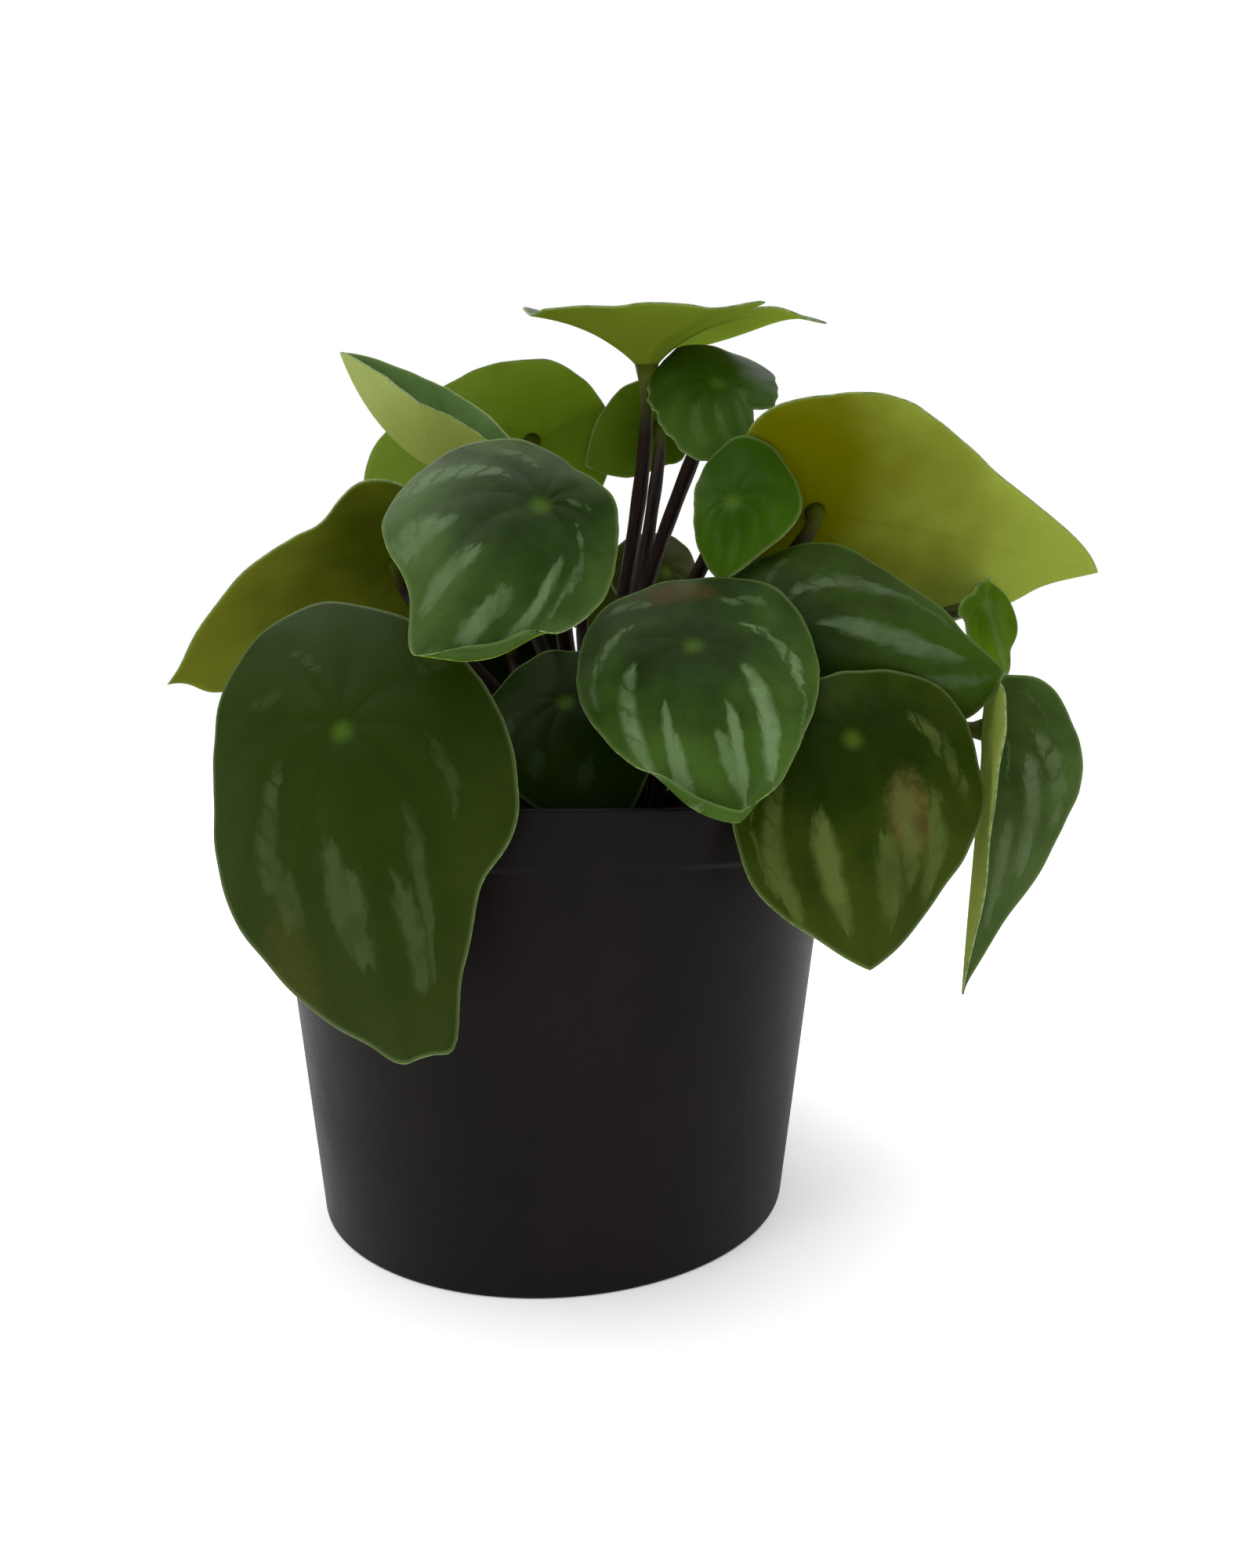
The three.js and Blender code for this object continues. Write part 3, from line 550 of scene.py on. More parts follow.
def leaf_rim():
    """The blade's thin pale edge."""
    graph = Graph("leaf_rim")
    flat = graph.attribute("flat", "Vector")
    worn = graph.rise(graph.noise(flat, 0.8, 3), 0.35, 0.65)
    colour = graph.blend(worn, (92, 112, 54), (130, 146, 92))
    return graph.finish(colour, graph.rise(worn, 0, 1, 0.4, 0.55), Specular_IOR_Level=0.2)


def petiole():
    """The stalk: dark red-brown, streaked along its length, greener towards the blade."""
    graph = Graph("petiole")
    along = graph.attribute("along")
    flat = graph.attribute("flat", "Vector")
    streaks = graph.noise(graph.scaled(flat, (1, 1, 0.12)), 1.6, 4, 0.6)
    flecks = graph.cells(flat, 1.1)
    colour = graph.blend(graph.rise(streaks, 0.3, 0.7), (16, 9, 5), (36, 21, 12))
    colour = graph.blend(graph.rise(along, 0.88, 1.0, 0, 0.9), colour, (76, 84, 20))
    colour = graph.blend(graph.rise(flecks, 0.05, 0.2, 0.3, 0), colour, (84, 58, 38))
    return graph.finish(
        colour, graph.rise(streaks, 0.3, 0.7, 0.36, 0.5), Normal=graph.bump(streaks, 0.0002),
        Specular_IOR_Level=0.09, **flesh(0.08, (1.0, 0.4, 0.25)))


def pot_plastic():
    """Dark recycled plastic: warm charcoal, faintly mottled, scuffed and dusty in places."""
    graph = Graph("pot_plastic")
    place = graph.place()
    mottle = graph.noise(place, 28, 4, 0.6)
    flow = graph.noise(graph.scaled(place, (1, 1, 0.12)), 90, 3)
    scuff = graph.noise(graph.scaled(place, (1, 1, 5)), 160, 3, 0.7)
    grain = graph.noise(place, 2600, 2)
    colour = graph.blend(graph.rise(mottle, 0.3, 0.72), (18, 14, 14), (25, 20, 19))
    colour = graph.blend(graph.rise(flow, 0.4, 0.75, 0, 0.3), colour, (16, 13, 13))
    colour = graph.blend(graph.rise(scuff, 0.68, 0.82, 0, 0.25), colour, (52, 47, 44))
    roughness = graph.rise(graph.weighed(mottle, 0.6, grain, 0.4), 0.3, 0.7, 0.4, 0.56)
    height = graph.weighed(grain, 0.5, flow, 0.5)
    return graph.finish(
        colour, roughness, Normal=graph.bump(height, 0.00008), Specular_IOR_Level=0.06)


def peat():
    """Moist dark potting mix."""
    graph = Graph("peat")
    place = graph.place()
    coarse = graph.noise(place, 300, 5, 0.7)
    fine = graph.noise(place, 1800, 3, 0.7)
    colour = graph.blend(graph.rise(coarse, 0.3, 0.7), (34, 24, 18), (70, 50, 36))
    colour = graph.blend(graph.rise(fine, 0.55, 0.75, 0, 0.6), colour, (96, 74, 54))
    height = graph.weighed(coarse, 0.6, fine, 0.4)
    return graph.finish(
        colour, graph.rise(coarse, 0.3, 0.7, 0.75, 0.95), Normal=graph.bump(height, 0.0006))


def perlite():
    """White puffed grains in the potting mix."""
    graph = Graph("perlite")
    pits = graph.cells(graph.place(), 1500)
    colour = graph.blend(graph.rise(pits, 0.05, 0.5), (168, 160, 146), (214, 210, 200))
    return graph.finish(
        colour, graph.rise(pits, 0, 0.6, 0.8, 0.95), Normal=graph.bump(pits, 0.0003))


def floor_paint():
    """Plain pale floor with the faintest variation."""
    graph = Graph("floor_paint")
    drift = graph.noise(graph.place(), 3, 3)
    colour = graph.blend(drift, (246, 246, 245), (251, 251, 250))
    return graph.finish(
        colour, graph.rise(drift, 0.2, 0.8, 0.6, 0.75),
        Specular_IOR_Level=0.2, Emission_Color=(1, 1, 1, 1), Emission_Strength=0.28)


# Meshes

def add_object(data):
    thing = bpy.data.objects.new(data.name, data)
    bpy.context.scene.collection.objects.link(thing)
    return thing


def add_smooth(mesh, materials=()):
    """An object of a mesh, shaded smooth, with its materials."""
    mesh.polygons.foreach_set("use_smooth", [True] * len(mesh.polygons))
    for material in materials:
        mesh.materials.append(material)
    return add_object(mesh)


def add_body(name, points, faces, materials):
    """A smooth object from points in millimetres."""
    mesh = bpy.data.meshes.new(name)
    mesh.from_pydata((points * MM).tolist(), [], faces)
    return add_smooth(mesh, materials)


def add_shape(name, shape, materials=()):
    """A smooth object from a bmesh, which is used up."""
    mesh = bpy.data.meshes.new(name)
    shape.to_mesh(mesh)
    shape.free()
    return add_smooth(mesh, materials)


def write_attribute(thing, name, values):
    """Keeps a number or a vector for each point of an object's mesh, for its shaders."""
    kind, field = ("FLOAT_VECTOR", "vector") if values.ndim == 2 else ("FLOAT", "value")
    attribute = thing.data.attributes.new(name, kind, "POINT")
    attribute.data.foreach_set(field, values.astype(np.float32).ravel())


def whole_turn(sides):
    """Evenly spaced angles, once round."""
    return 2 * math.pi * np.arange(sides) / sides


def fan(centre, ring):
    """Three-sided faces between one point and a ring of points."""
    return np.stack((np.full(len(ring), centre), ring, np.roll(ring, -1)), axis=-1).tolist()


def band(near, far):
    """Four-sided faces between two rings of points."""
    return np.stack((near, far, np.roll(far, -1), np.roll(near, -1)), axis=-1).tolist()


def turned_over(faces):
    return [face[:1] + face[:0:-1] for face in faces]


# Leaf geometry, in millimetres

def unit(vector):
    return vector / np.linalg.norm(vector, axis=-1, keepdims=True)


def smooth(value, low, high):
    """From 0 to 1, smoothly, as value goes from low to high."""
    share = np.clip((value - low) / (high - low), 0, 1)
    return share * share * (3 - 2 * share)


def bell(angle, centre, spread):
    """1 in the direction centre and falling off on both sides over spread, both in degrees."""
    away = np.degrees(np.angle(np.exp(1j * (angle - math.radians(centre)))))
    return np.exp(-(away / spread) ** 2)


def bend(length, angle):
    """A length bent round a circle: how far it still reaches, and how far it drops."""
    straight = np.abs(angle) < 1e-9
    turn = np.where(straight, 1.0, angle)
    reach = np.where(straight, length, np.sin(turn) / turn * length)
    drop = np.where(straight, 0.0, (1 - np.cos(turn)) / turn * length)
    return reach, drop


def blade_point(leaf, length, along, across):
    """The blade's middle surface in its own frame, as the CAD model has it: the midrib along
    +X, the upper side towards +Z and the stalk at the origin."""
    half = leaf["width"] / 2
    to_tip = along > 0
    part = np.where(to_tip, along / length, -along / leaf["back"])
    share = np.where(to_tip, 1.0, BLADE["rear_arch_share"])
    arch = math.radians(leaf["arch"]) * part * share
    reach, drop = bend(np.abs(along), arch)
    slope = np.where(to_tip, -arch, arch)

    side = np.abs(across)
    crease = BLADE["crease_share"] * half
    soft_side = np.hypot(side, crease) - crease
    rolled, rolled_drop = bend(side, math.radians(leaf["cup"]) * side / half)
    fold = math.radians(leaf["fold"])
    radius = np.hypot(along, across)
    turn = np.arctan2(across / half, along / length)
    ripple = leaf["wave"] * (radius / half) ** 2 * np.sin(BLADE["waves"] * turn)
    rise = soft_side * math.sin(fold) - rolled_drop + leaf["cone"] * radius + ripple

    sideways = np.sign(across) * rolled * math.cos(fold)
    swept = np.where(to_tip, leaf["sweep"] * length * part * part, 0)
    x = np.where(to_tip, reach, -reach) - np.sin(slope) * rise
    z = -drop + np.cos(slope) * rise
    return np.stack((x, sideways + swept, z), axis=-1)


def basis(direction, upward):
    """Three square axes as columns: X along a direction, Z as near as can be to another."""
    x = unit(np.array(direction, float))
    upward = np.array(upward, float)
    z = unit(upward - x * (upward @ x))
    return np.column_stack((x, np.cross(z, x), z))


def place_leaf(leaf):
    """The blade's length, and the turn and place that bring its own frame to the plant's."""
    at = np.array(leaf["at"], float)
    chord = np.array(leaf["tip"], float) - at
    unit_tip = blade_point(leaf, 1.0, np.array(1.0), np.array(0.0))
    length = np.linalg.norm(chord) / np.linalg.norm(unit_tip)
    turn = basis(chord, leaf["face"]) @ basis(unit_tip, (0, 0, 1)).T
    return length, turn, at


def half_width(leaf, place):
    """Half the blade's width at a place from 0 at the rear edge to 1 at the tip."""
    rear = BLADE["rear_roundness"]
    widest = rear / (rear + leaf["point"])

    def shape(share):
        return share ** rear * (1 - share) ** leaf["point"]

    return leaf["width"] / 2 * shape(place) / shape(widest)


def blade_outline(leaf, length):
    """The outline on the flat blade, from the tip round by the left side to the tip again."""
    sectors = FINE["sectors"]
    step = np.arange(sectors)
    folded = np.minimum(step, sectors - step)
    place = (1 + np.cos(2 * math.pi * folded / sectors)) / 2
    side = np.where(step <= sectors // 2, 1.0, -1.0)
    across = side * half_width(leaf, np.clip(place, 0, 1))
    across[folded == 0] = 0
    across[folded == sectors // 2] = 0
    along = -leaf["back"] + place * (length + leaf["back"])
    return along, across


def vein_place(angle, reach):
    """Which vein a point of the blade is on: whole numbers are veins, 0 the midrib. A vein that
    leaves the stalk at an angle bends towards the tip as angle - pull * sin(angle), and this
    finds that first angle by a few rounds of Newton's method."""
    pull = VEIN_PULL * reach ** VEIN_PULL_GROWTH
    turn = np.abs(angle)
    start = turn + pull * np.sin(turn)
    for _ in range(12):
        error = start - pull * np.sin(start) - turn
        start = start - error / (1 - pull * np.cos(start))
    return np.interp(np.degrees(start), VEIN_ANGLES, VEIN_PLACES)


def edge_distance(along, across, outline_along, outline_across):
    """Each point's distance to the outline."""
    start = np.stack((outline_along, outline_across), axis=-1)
    span = np.roll(start, -1, axis=0) - start
    point = np.stack((along, across), axis=-1)[:, None, :]
    share = ((point - start) * span).sum(-1) / np.maximum((span * span).sum(-1), 1e-12)
    nearest = start + np.clip(share, 0, 1)[..., None] * span
    return np.linalg.norm(point - nearest, axis=-1).min(axis=1)


class Blade:
    """One leaf blade: the CAD model's form with a ragged outline, curls and fine relief."""

    def __init__(self, name):
        self.name = name
        self.leaf = {**PLAIN_LEAF, **LEAVES[name]}
        self.look = {**PLAIN_LOOK, **LOOKS.get(name, {})}
        self.length, self.turn, self.at = place_leaf(self.leaf)
        self.forward, _, self.normal = self.turn.T
        random = own_random(name)
        *self.phases, self.seed = random.uniform(0, 2 * math.pi, 4)
        self.wave_height = random.uniform(*RELIEF["wave_heights"])

    def outline(self):
        """The outline on the flat blade, with its swells and its ragged edge."""
        along, across = blade_outline(self.leaf, self.length)
        angle = np.arctan2(across, along)
        rough = self.look["ragged"] * sum(
            height * np.sin(waves * angle + phase)
            for (waves, height), phase in zip(RAGGED_WAVES, self.phases))
        for centre, spread, share in self.look["swells"]:
            rough = rough + share * bell(angle, centre, spread)
        return along * (1 + rough), across * (1 + rough)

    def point(self, along, across, reach):
        """The middle surface in the blade's own frame, and how high its curls and relief lift
        each point. reach goes from 0 at the stalk to 1 at the margin."""
        angle = np.arctan2(across, along)
        radius = np.hypot(along, across)
        edge = np.where(reach > 1e-6, radius / np.maximum(reach, 1e-6), 1.0)
        lift = np.zeros_like(along)
        for centre, spread, begins, degrees in self.look["curls"]:
            past = np.clip(reach - begins, 0, None) * edge
            whole_roll = math.radians(degrees) * bell(angle, centre, spread)
            kept, risen = bend(past, whole_roll * past / np.maximum((1 - begins) * edge, 1e-9))
            radius = radius - past + kept
            lift = lift + risen
        lift = lift + self.relief(angle, radius, reach)
        base = blade_point(self.leaf, self.length, radius * np.cos(angle), radius * np.sin(angle))
        return base, lift

    def relief(self, angle, radius, reach):
        """Height above the smooth blade: sunk veins, swollen between them, a navel at the stalk,
        and waves and ripples that grow towards the margin."""
        vein = vein_place(angle, reach)
        from_vein = np.abs(vein - np.round(vein))
        fade = smooth(reach, 0.05, 0.3) * (1 - smooth(reach, 0.65, 0.95))
        sunk = -RELIEF["vein_depth"] * np.exp(-(from_vein / RELIEF["vein_spread"]) ** 2)
        swollen = RELIEF["swelling"] * np.sin(math.pi * np.minimum(from_vein * 2, 1) / 2) ** 2
        navel = -RELIEF["navel_depth"] * np.exp(-(radius / RELIEF["navel_radius"]) ** 2)
        waves = self.wave_height * reach ** 5 * np.sin(RELIEF["waves"] * angle + self.phases[0])
        ripples = (
            RELIEF["ripple_height"] * reach ** 7 * np.sin(RELIEF["ripples"] * angle + self.phases[1]))
        return (sunk + swollen) * fade + navel + (waves + ripples)

    def skin(self, along, across, reach, offset):
        """Points at an offset from the middle surface, in the plant's frame."""
        base, lift = self.point(along, across, reach)
        step = 0.05
        ahead, behind, left, right = (
            blade_point(self.leaf, self.length, along + forward, across + sideways)
            for forward, sideways in ((step, 0), (-step, 0), (0, step), (0, -step)))
        normal = unit(np.cross(ahead - behind, left - right))
        own = base + normal * (lift + offset)[..., None]
        return own @ self.turn.T + self.at


def build_blade(blade, materials):
    """One closed thin blade: two skins that thin out to a rounded rim, with its flat places and
    veins kept as attributes for the shaders."""
    outline_along, outline_across = blade.outline()
    sectors = FINE["sectors"]
    share = (np.arange(1, FINE["rings"] + 1) / FINE["rings"]) ** FINE["ring_power"]
    along = np.concatenate(([0.0], np.outer(share, outline_along).ravel()))
    across = np.concatenate(([0.0], np.outer(share, outline_across).ravel()))
    reach = np.concatenate(([0.0], np.repeat(share, sectors)))
    half = BLADE["thickness"] / 2 * (1 - EDGE["thinning"] * reach ** 2)
    lip = 1 + EDGE["rim"] / np.hypot(outline_along, outline_across)
    points = np.concatenate((
        blade.skin(along, across, reach, half),
        blade.skin(along, across, reach, -half),
        blade.skin(outline_along * lip, outline_across * lip, np.ones(sectors), np.zeros(sectors))))

    per_skin = len(along)
    rings = [1 + ring * sectors + np.arange(sectors) for ring in range(len(share))]
    upper = fan(0, rings[0])
    for near, far in zip(rings, rings[1:]):
        upper.extend(band(near, far))
    lower = turned_over([[corner + per_skin for corner in face] for face in upper])
    margin = rings[-1]
    rim = 2 * per_skin + np.arange(sectors)
    edge = band(margin, rim) + band(rim, margin + per_skin)
    foliage = add_body(f"foliage_{blade.name}", points, upper + lower + edge, materials)
    slots = [0] * len(upper) + [1] * len(lower) + [2] * len(edge)
    foliage.data.polygons.foreach_set("material_index", slots)

    noise_place = np.full(per_skin, blade.seed * NOISE_SHIFT["blade"])
    attributes = dict(
        vein=vein_place(np.arctan2(across, along), reach),
        reach=reach,
        margin=edge_distance(along, across, outline_along, outline_across),
        distance=np.hypot(along, across),
        lengthwise=along / blade.length,
        flat=np.stack((along, across, noise_place), axis=-1),
        seed=np.full(per_skin, blade.seed),
    )
    for name, values in attributes.items():
        write_attribute(foliage, name, np.concatenate((values, values, values[margin])))
    return foliage


# Stalks, in millimetres

def stalk_line(blade, steps):
    """Points from the stalk's foot in the soil to the blade's middle, and how far along each is."""
    leaf = blade.leaf
    upward = np.array((0.0, 0.0, 1.0))
    turn = math.radians(leaf["angle"])
    out = TUFT["ring_radii"][leaf["ring"]]
    root = np.array((
        TUFT["x"] + out * math.cos(turn), TUFT["y"] + out * math.sin(turn), SOIL["middle_height"]))
    end = blade.at - blade.normal * FLARE["end_below"]
    span = np.linalg.norm(end - root)
    first = root + upward * leaf["lift"] * span
    second = end - blade.normal * leaf["lead"] * span
    fine = np.linspace(0, 1, 200)[:, None]
    bow = (
        (1 - fine) ** 3 * root + 3 * fine * (1 - fine) ** 2 * first
        + 3 * fine ** 2 * (1 - fine) * second + fine ** 3 * end)
    line = np.concatenate(((root - upward * STALK["depth"])[None], bow))
    gone = np.concatenate(([0], np.cumsum(np.linalg.norm(np.diff(line, axis=0), axis=1))))
    wanted = np.linspace(0, 1, steps + 1) * gone[-1]
    return np.stack([np.interp(wanted, gone, line[:, axis]) for axis in range(3)], axis=-1), wanted


def build_stalk(blade, material):
    """A tapering stalk, a little uneven, that flares into the blade's underside."""
    steps = FINE["stalk_steps"]
    sides = FINE["stalk_sides"]
    line, gone = stalk_line(blade, steps)
    tangent = unit(np.gradient(line, axis=0))
    across = np.zeros_like(line)
    sideways = blade.forward
    for index in range(steps, -1, -1):
        sideways = unit(sideways - tangent[index] * (sideways @ tangent[index]))
        across[index] = sideways
    other = np.cross(tangent, across)

    share = gone / gone[-1]
    first, second, third = blade.phases
    wobble = 1 + 0.05 * np.sin(gone * 0.21 + first) + 0.03 * np.sin(gone * 0.53 + second)
    radius = (STALK["foot_radius"] + (STALK["top_radius"] - STALK["foot_radius"]) * share) * wobble
    turn = whole_turn(sides)
    ridges = 1 + 0.04 * np.cos(5 * turn + third)
    spokes = np.cos(turn)[:, None] * across[:, None] + np.sin(turn)[:, None] * other[:, None]
    tube = line[:, None] + spokes * (radius[:, None] * ridges)[..., None]

    # The last stretch spreads out and lies against the underside, as the veins take off there
    left = gone[-1] - gone
    flare = np.clip(1 - left / FLARE["length"], 0, 1) ** FLARE["power"]
    spread = STALK["top_radius"] * (1 + FLARE["widening"] * flare)
    for index in np.nonzero(flare > 0)[0]:
        seat = blade.skin(
            spread[index] * np.cos(turn), spread[index] * np.sin(turn),
            np.full(sides, FLARE["reach"]), np.full(sides, -FLARE["sunk"]))
        hung = seat - blade.normal * left[index]
        tube[index] = tube[index] * (1 - flare[index]) + hung * flare[index]

    # The head is a fan round a point on the underside, so that it stays below a coned blade
    centre = blade.skin(np.zeros(1), np.zeros(1), np.zeros(1), np.full(1, -FLARE["sunk"]))
    points = np.concatenate((tube.reshape(-1, 3), centre))
    rings = [index * sides + np.arange(sides) for index in range(steps + 1)]
    faces = [rings[0][::-1].tolist()]
    for here, after in zip(rings, rings[1:]):
        faces.extend(turned_over(band(here, after)))
    faces.extend(fan(len(points) - 1, rings[-1]))
    stalk = add_body(f"petiole_{blade.name}", points, faces, [material])

    write_attribute(stalk, "along", np.append(np.repeat(share, sides), 1))
    rolled = np.stack((
        np.tile(np.cos(turn), steps + 1), np.tile(np.sin(turn), steps + 1), np.repeat(gone, sides)),
        axis=-1)
    rolled = np.concatenate((rolled, [(0, 0, gone[-1])]))
    write_attribute(stalk, "flat", rolled + blade.seed * NOISE_SHIFT["stalk"])
    return stalk


# Pot and soil, in millimetres

def wall_radius(height):
    """The pot's outer radius at a height below its collar."""
    slope = (POT["rim_radius"] - POT["collar_step"] - POT["base_radius"]) / POT["height"]
    return POT["base_radius"] + slope * height


def rounded(corners, radius, steps=4):
    """A profile with each inner corner rounded by an arc of about that radius."""
    points = [corners[0]]
    for before, corner, after in zip(corners, corners[1:], corners[2:]):
        before, corner, after = map(np.array, (before, corner, after))
        cut = min(radius, 0.45 * np.linalg.norm(before - corner), 0.45 * np.linalg.norm(after - corner))
        start = corner + unit(before - corner) * cut
        end = corner + unit(after - corner) * cut
        for share in np.arange(steps + 1) / steps:
            arc = (1 - share) ** 2 * start + 2 * share * (1 - share) * corner + share ** 2 * end
            points.append(tuple(arc))
    points.append(corners[-1])
    return points


def lathe(name, profile, sides):
    """A closed body turned round +Z from a profile that starts and ends on the axis."""
    shape = bmesh.new()
    rings = []
    for radius, height in profile:
        turns = whole_turn(sides) if radius > 1e-6 else [0.0]
        rings.append([
            shape.verts.new((radius * MM * math.cos(turn), radius * MM * math.sin(turn), height * MM))
            for turn in turns])
    for low, high in zip(rings, rings[1:]):
        for side in range(sides):
            places = ((low, side), (low, side + 1), (high, side + 1), (high, side))
            corners = list(dict.fromkeys(ring[place % len(ring)] for ring, place in places))
            if len(corners) > 2:
                shape.faces.new(corners)
    bmesh.ops.recalc_face_normals(shape, faces=shape.faces)
    return add_shape(name, shape)


def apply_modifiers(thing):
    """Bakes the object's modifiers into its mesh, with sharp edges where faces turn steeply."""
    graph = bpy.context.evaluated_depsgraph_get()
    mesh = bpy.data.meshes.new_from_object(thing.evaluated_get(graph))
    thing.modifiers.clear()
    thing.data = mesh
    mesh.name = thing.name
    mesh.set_sharp_from_angle(angle=math.radians(40))


def build_pot(material):
    """The pot with its rounded rim, collar and foot, and its drain holes cut through."""
    floor_top = POT["foot_height"] + POT["floor_thickness"]
    collar_foot = POT["height"] - POT["collar_height"]
    rim_inner = POT["rim_radius"] - POT["wall"] - POT["collar_step"]
    slope = POT["foot_height"] / 2
    profile = rounded([
        (0, 0),
        (POT["pad_radius"], 0),
        (POT["pad_radius"] + slope, POT["foot_height"]),
        (POT["base_radius"] - POT["foot_width"] - slope, POT["foot_height"]),
        (POT["base_radius"] - POT["foot_width"], 0),
        (POT["base_radius"], 0),
        (wall_radius(collar_foot), collar_foot),
        (wall_radius(collar_foot) + POT["collar_step"], collar_foot + POT["collar_step"]),
        (POT["rim_radius"], POT["height"]),
        (rim_inner, POT["height"]),
        (wall_radius(floor_top) - POT["wall"], floor_top),
        (0, floor_top),
    ], FINE["pot_rounding"])
    pot = lathe("plastic_pot", profile, FINE["pot_sides"])
    low, high = BORE_HEIGHTS
    cutters = []
    for index in range(DRAIN["count"]):
        turn = 2 * math.pi * (index + 0.5) / DRAIN["count"]
        bore = [(0, low), (DRAIN["radius"], low), (DRAIN["radius"], high), (0, high)]
        cutter = lathe("drain", bore, FINE["drain_sides"])
        cutter.location = Vector((math.cos(turn), math.sin(turn), 0)) * DRAIN["ring_radius"] * MM
        cut = pot.modifiers.new("drain", "BOOLEAN")
        cut.object = cutter
        cut.solver = "EXACT"
        cutters.append(cutter)
    apply_modifiers(pot)
    for cutter in cutters:
        bpy.data.objects.remove(cutter)
    pot.data.materials.append(material)
    return pot


def soil_height(x, y):
    """The soil's surface: a low mound with lumps of a few sizes, a little sunk for its crumbs."""
    radius = np.hypot(x, y)
    edge = wall_radius(SOIL["edge_height"]) - POT["wall"]
    mound = SOIL["middle_height"] - (SOIL["middle_height"] - SOIL["edge_height"]) * (radius / edge) ** 2
    lumps = (
        0.55 * np.sin(0.31 * x + 1.3 * np.sin(0.17 * y)) * np.sin(0.27 * y + 1.1)
        + 0.35 * np.sin(0.83 * x + 0.6) * np.sin(0.71 * y + 1.7 * np.sin(0.39 * x))
        + 0.2 * np.sin(1.9 * x + 0.7 * y) * np.sin(1.7 * y - 0.5 * x))
    return mound + lumps - SOIL_TOP["sunk"]


def build_soil(mix, grain):
    """The potting mix: one closed body with a lumpy top, under loose crumbs and perlite."""
    random = np.random.default_rng(11)
    sides = FINE["soil_sides"]
    rings = FINE["soil_rings"]
    bottom = POT["foot_height"] + POT["floor_thickness"] + SOIL["gap"]
    edge = wall_radius(SOIL["edge_height"]) - POT["wall"] - SOIL["gap"]
    low_edge = wall_radius(bottom) - POT["wall"] - SOIL["gap"]
    turn = whole_turn(sides)
    points = [np.array([[0, 0, soil_height(0.0, 0.0)]])]
    for ring in range(1, rings + 1):
        radius = edge * ring / rings
        x = radius * np.cos(turn)
        y = radius * np.sin(turn)
        z = soil_height(x, y) + random.normal(0, SOIL_TOP["roughness"], sides)
        points.append(np.stack((x, y, z), axis=-1))
    points.append(np.stack(
        (low_edge * np.cos(turn), low_edge * np.sin(turn), np.full(sides, bottom)), axis=-1))
    points.append(np.array([[0, 0, bottom]]))
    points = np.concatenate(points)

    circle = 1 + np.arange(sides)
    faces = fan(0, circle)
    for ring in range(rings):
        faces.extend(band(circle + ring * sides, circle + (ring + 1) * sides))
    faces.extend(turned_over(fan(len(points) - 1, circle + rings * sides)))
    soil = add_body("potting_mix", points, faces, [mix])

    crumbs = scatter_crumbs("soil_crumbs", 900, (0.5, 1.7), edge - 1.5, random, mix)
    grains = scatter_crumbs("perlite_grains", 70, (0.6, 1.4), edge - 2, random, grain)
    return soil, crumbs, grains


def scatter_crumbs(name, count, sizes, reach, random, material):
    """Small uneven lumps lying half sunk on the soil, in one mesh."""
    shape = bmesh.new()
    for _ in range(count):
        radius = reach * math.sqrt(random.uniform(0, 1))
        turn = random.uniform(0, 2 * math.pi)
        x = radius * math.cos(turn)
        y = radius * math.sin(turn)
        size = random.uniform(*sizes)
        height = float(soil_height(np.array(x), np.array(y))) + 0.25 * size
        lump = bmesh.ops.create_icosphere(shape, subdivisions=1, radius=size * MM)["verts"]
        stretch = random.uniform(0.6, 1.3, 3)
        for vertex in lump:
            jitter = 1 + random.uniform(-0.22, 0.22)
            vertex.co = Vector([value * along * jitter for value, along in zip(vertex.co, stretch)])
            vertex.co += Vector((x, y, height)) * MM
    return add_shape(name, shape, [material])


# Stage, light and camera, in metres

def build_floor():
    """A wide round floor."""
    turns = whole_turn(96)
    ring = [(FLOOR_RADIUS * math.cos(turn), FLOOR_RADIUS * math.sin(turn), 0) for turn in turns]
    mesh = bpy.data.meshes.new("floor")
    mesh.from_pydata(ring, [], [list(range(len(ring)))])
    mesh.materials.append(floor_paint())
    floor = add_object(mesh)


def add_lamp(name, kind, place, turn, **settings):
    lamp = bpy.data.lights.new(name, kind)
    for key, value in settings.items():
        setattr(lamp, key, value)
    thing = add_object(lamp)
    thing.location = place
    thing.rotation_euler = turn.to_euler()


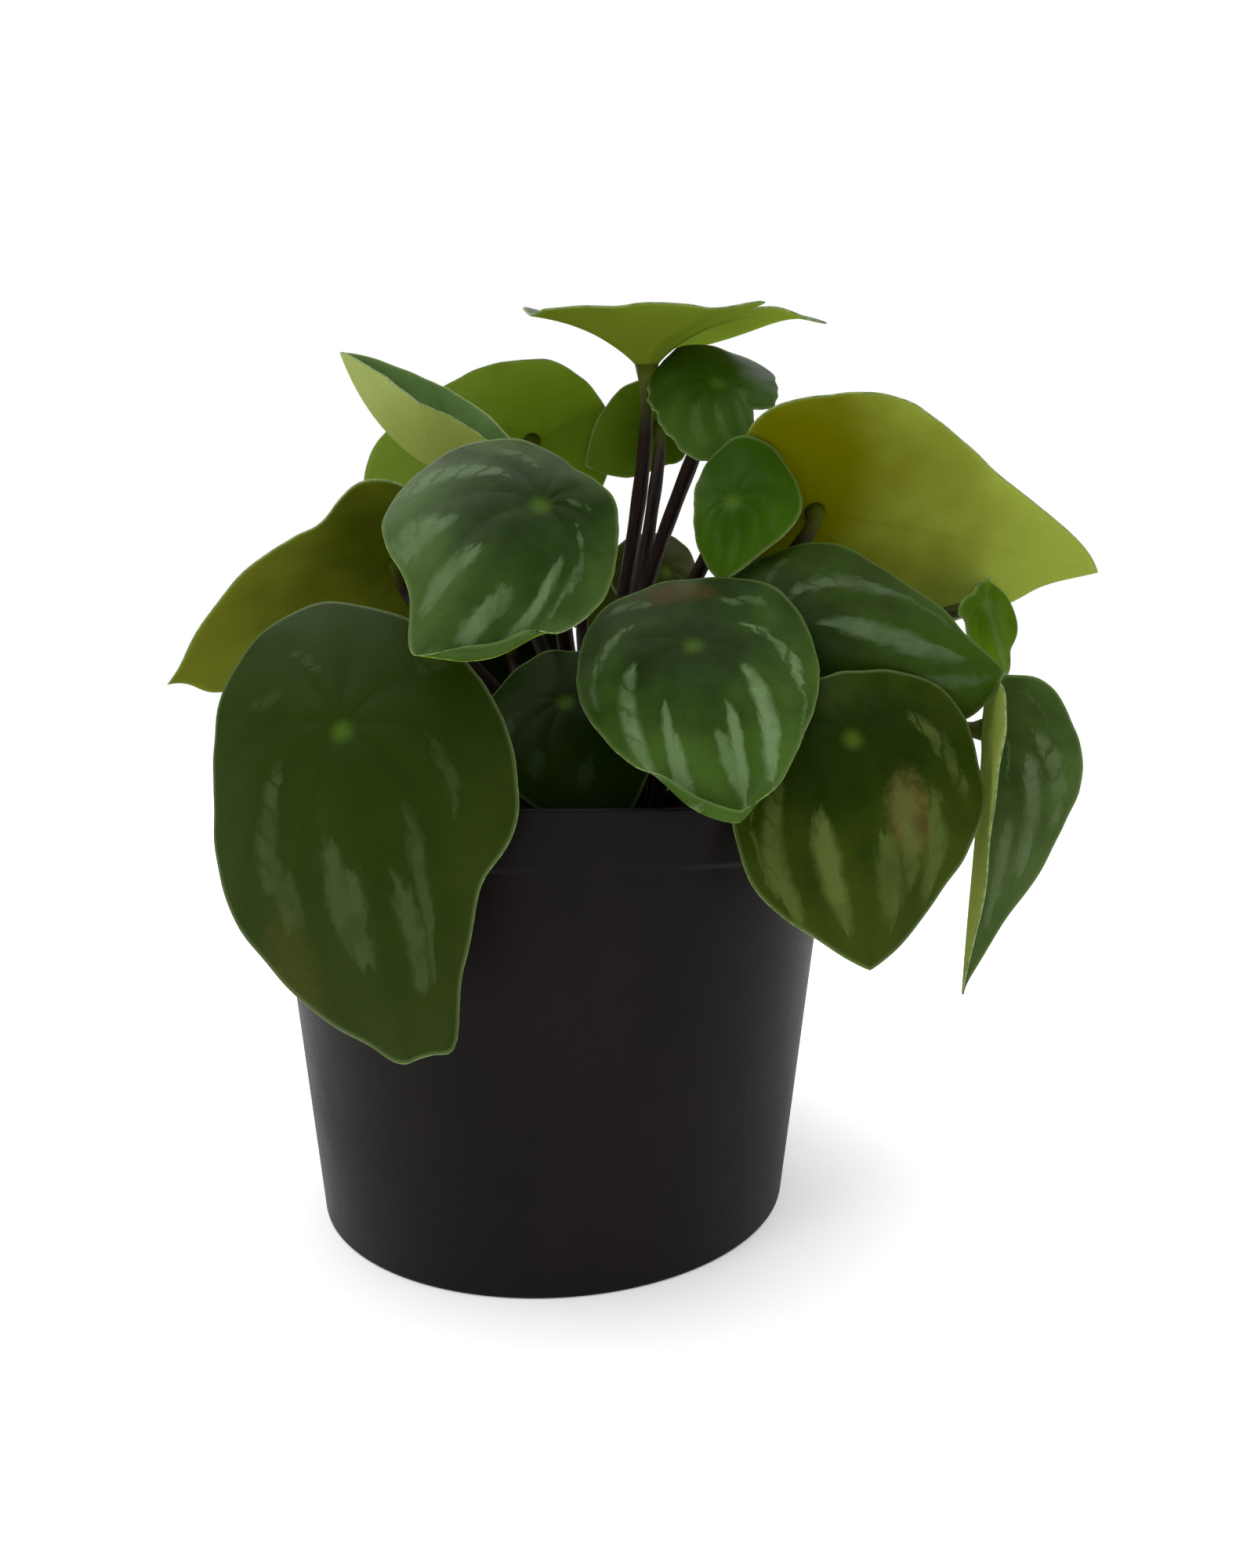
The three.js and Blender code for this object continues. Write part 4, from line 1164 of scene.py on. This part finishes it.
def set_up_light():
    """Soft light from above, and a window in front of the plant on the left."""
    # What the camera sees past the floor is white. What lights the plant is dimmer.
    graph = Graph("studio", "worlds")
    white = graph.add("ShaderNodeBackground", {"Color": (1, 1, 1, 1)})
    dimmer = graph.add("ShaderNodeBackground", {"Color": (0.95, 0.98, 1.0, 1), "Strength": 0.5})
    seen = graph.add("ShaderNodeLightPath", {}, "Is Camera Ray")
    either = graph.add("ShaderNodeMixShader", {0: seen, 1: dimmer, 2: white})
    scene = bpy.context.scene
    scene.world = graph.end(either, "ShaderNodeOutputWorld")
    scene.view_settings.view_transform = "Standard"

    sky = Vector((-0.12, 0.1, 1.0))
    add_lamp(
        "overhead", "SUN", (0, 0, 0), sky.to_track_quat("Z", "Y"),
        angle=math.radians(85), energy=2.7)
    window = Vector((-0.7, -0.55, 0.95))
    foliage_middle = Vector((0.01, 0, 0.11))
    add_lamp(
        "window", "AREA", window, (foliage_middle - window).to_track_quat("-Z", "Y"),
        shape="DISK", size=0.6, energy=2.2, color=(1.0, 0.99, 0.97))


def set_up_camera():
    """Level, a little right of the pot's middle and close to it, as the photo was taken."""
    camera = bpy.data.cameras.new("camera")
    camera.sensor_width = CAMERA["sensor_width"]
    camera.lens = CAMERA["sensor_width"] * CAMERA["focal_pixels"] / CAMERA["photo_pixels"]
    camera.clip_start = 0.005
    thing = add_object(camera)
    thing.location = CAMERA["place"]
    thing.rotation_euler = (math.radians(90), 0, 0)
    bpy.context.scene.camera = thing


def main():
    set_up_camera()
    set_up_light()
    build_floor()

    pot = build_pot(pot_plastic())
    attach(pot, "root")
    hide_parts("pot")

    soil, *loose = build_soil(peat(), perlite())
    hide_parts("soil")
    for piece in (soil, *loose):
        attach(piece, "root")

    rim = leaf_rim()
    skin = petiole()
    for name in LEAVES:
        blade = Blade(name)
        foliage = build_blade(blade, (leaf_upper(blade), leaf_under(blade), rim))
        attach(foliage, "root")
        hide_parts(f"blade_{name}")
        stalk = build_stalk(blade, skin)
        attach(stalk, "root")
        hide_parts(f"stalk_{name}")


main()
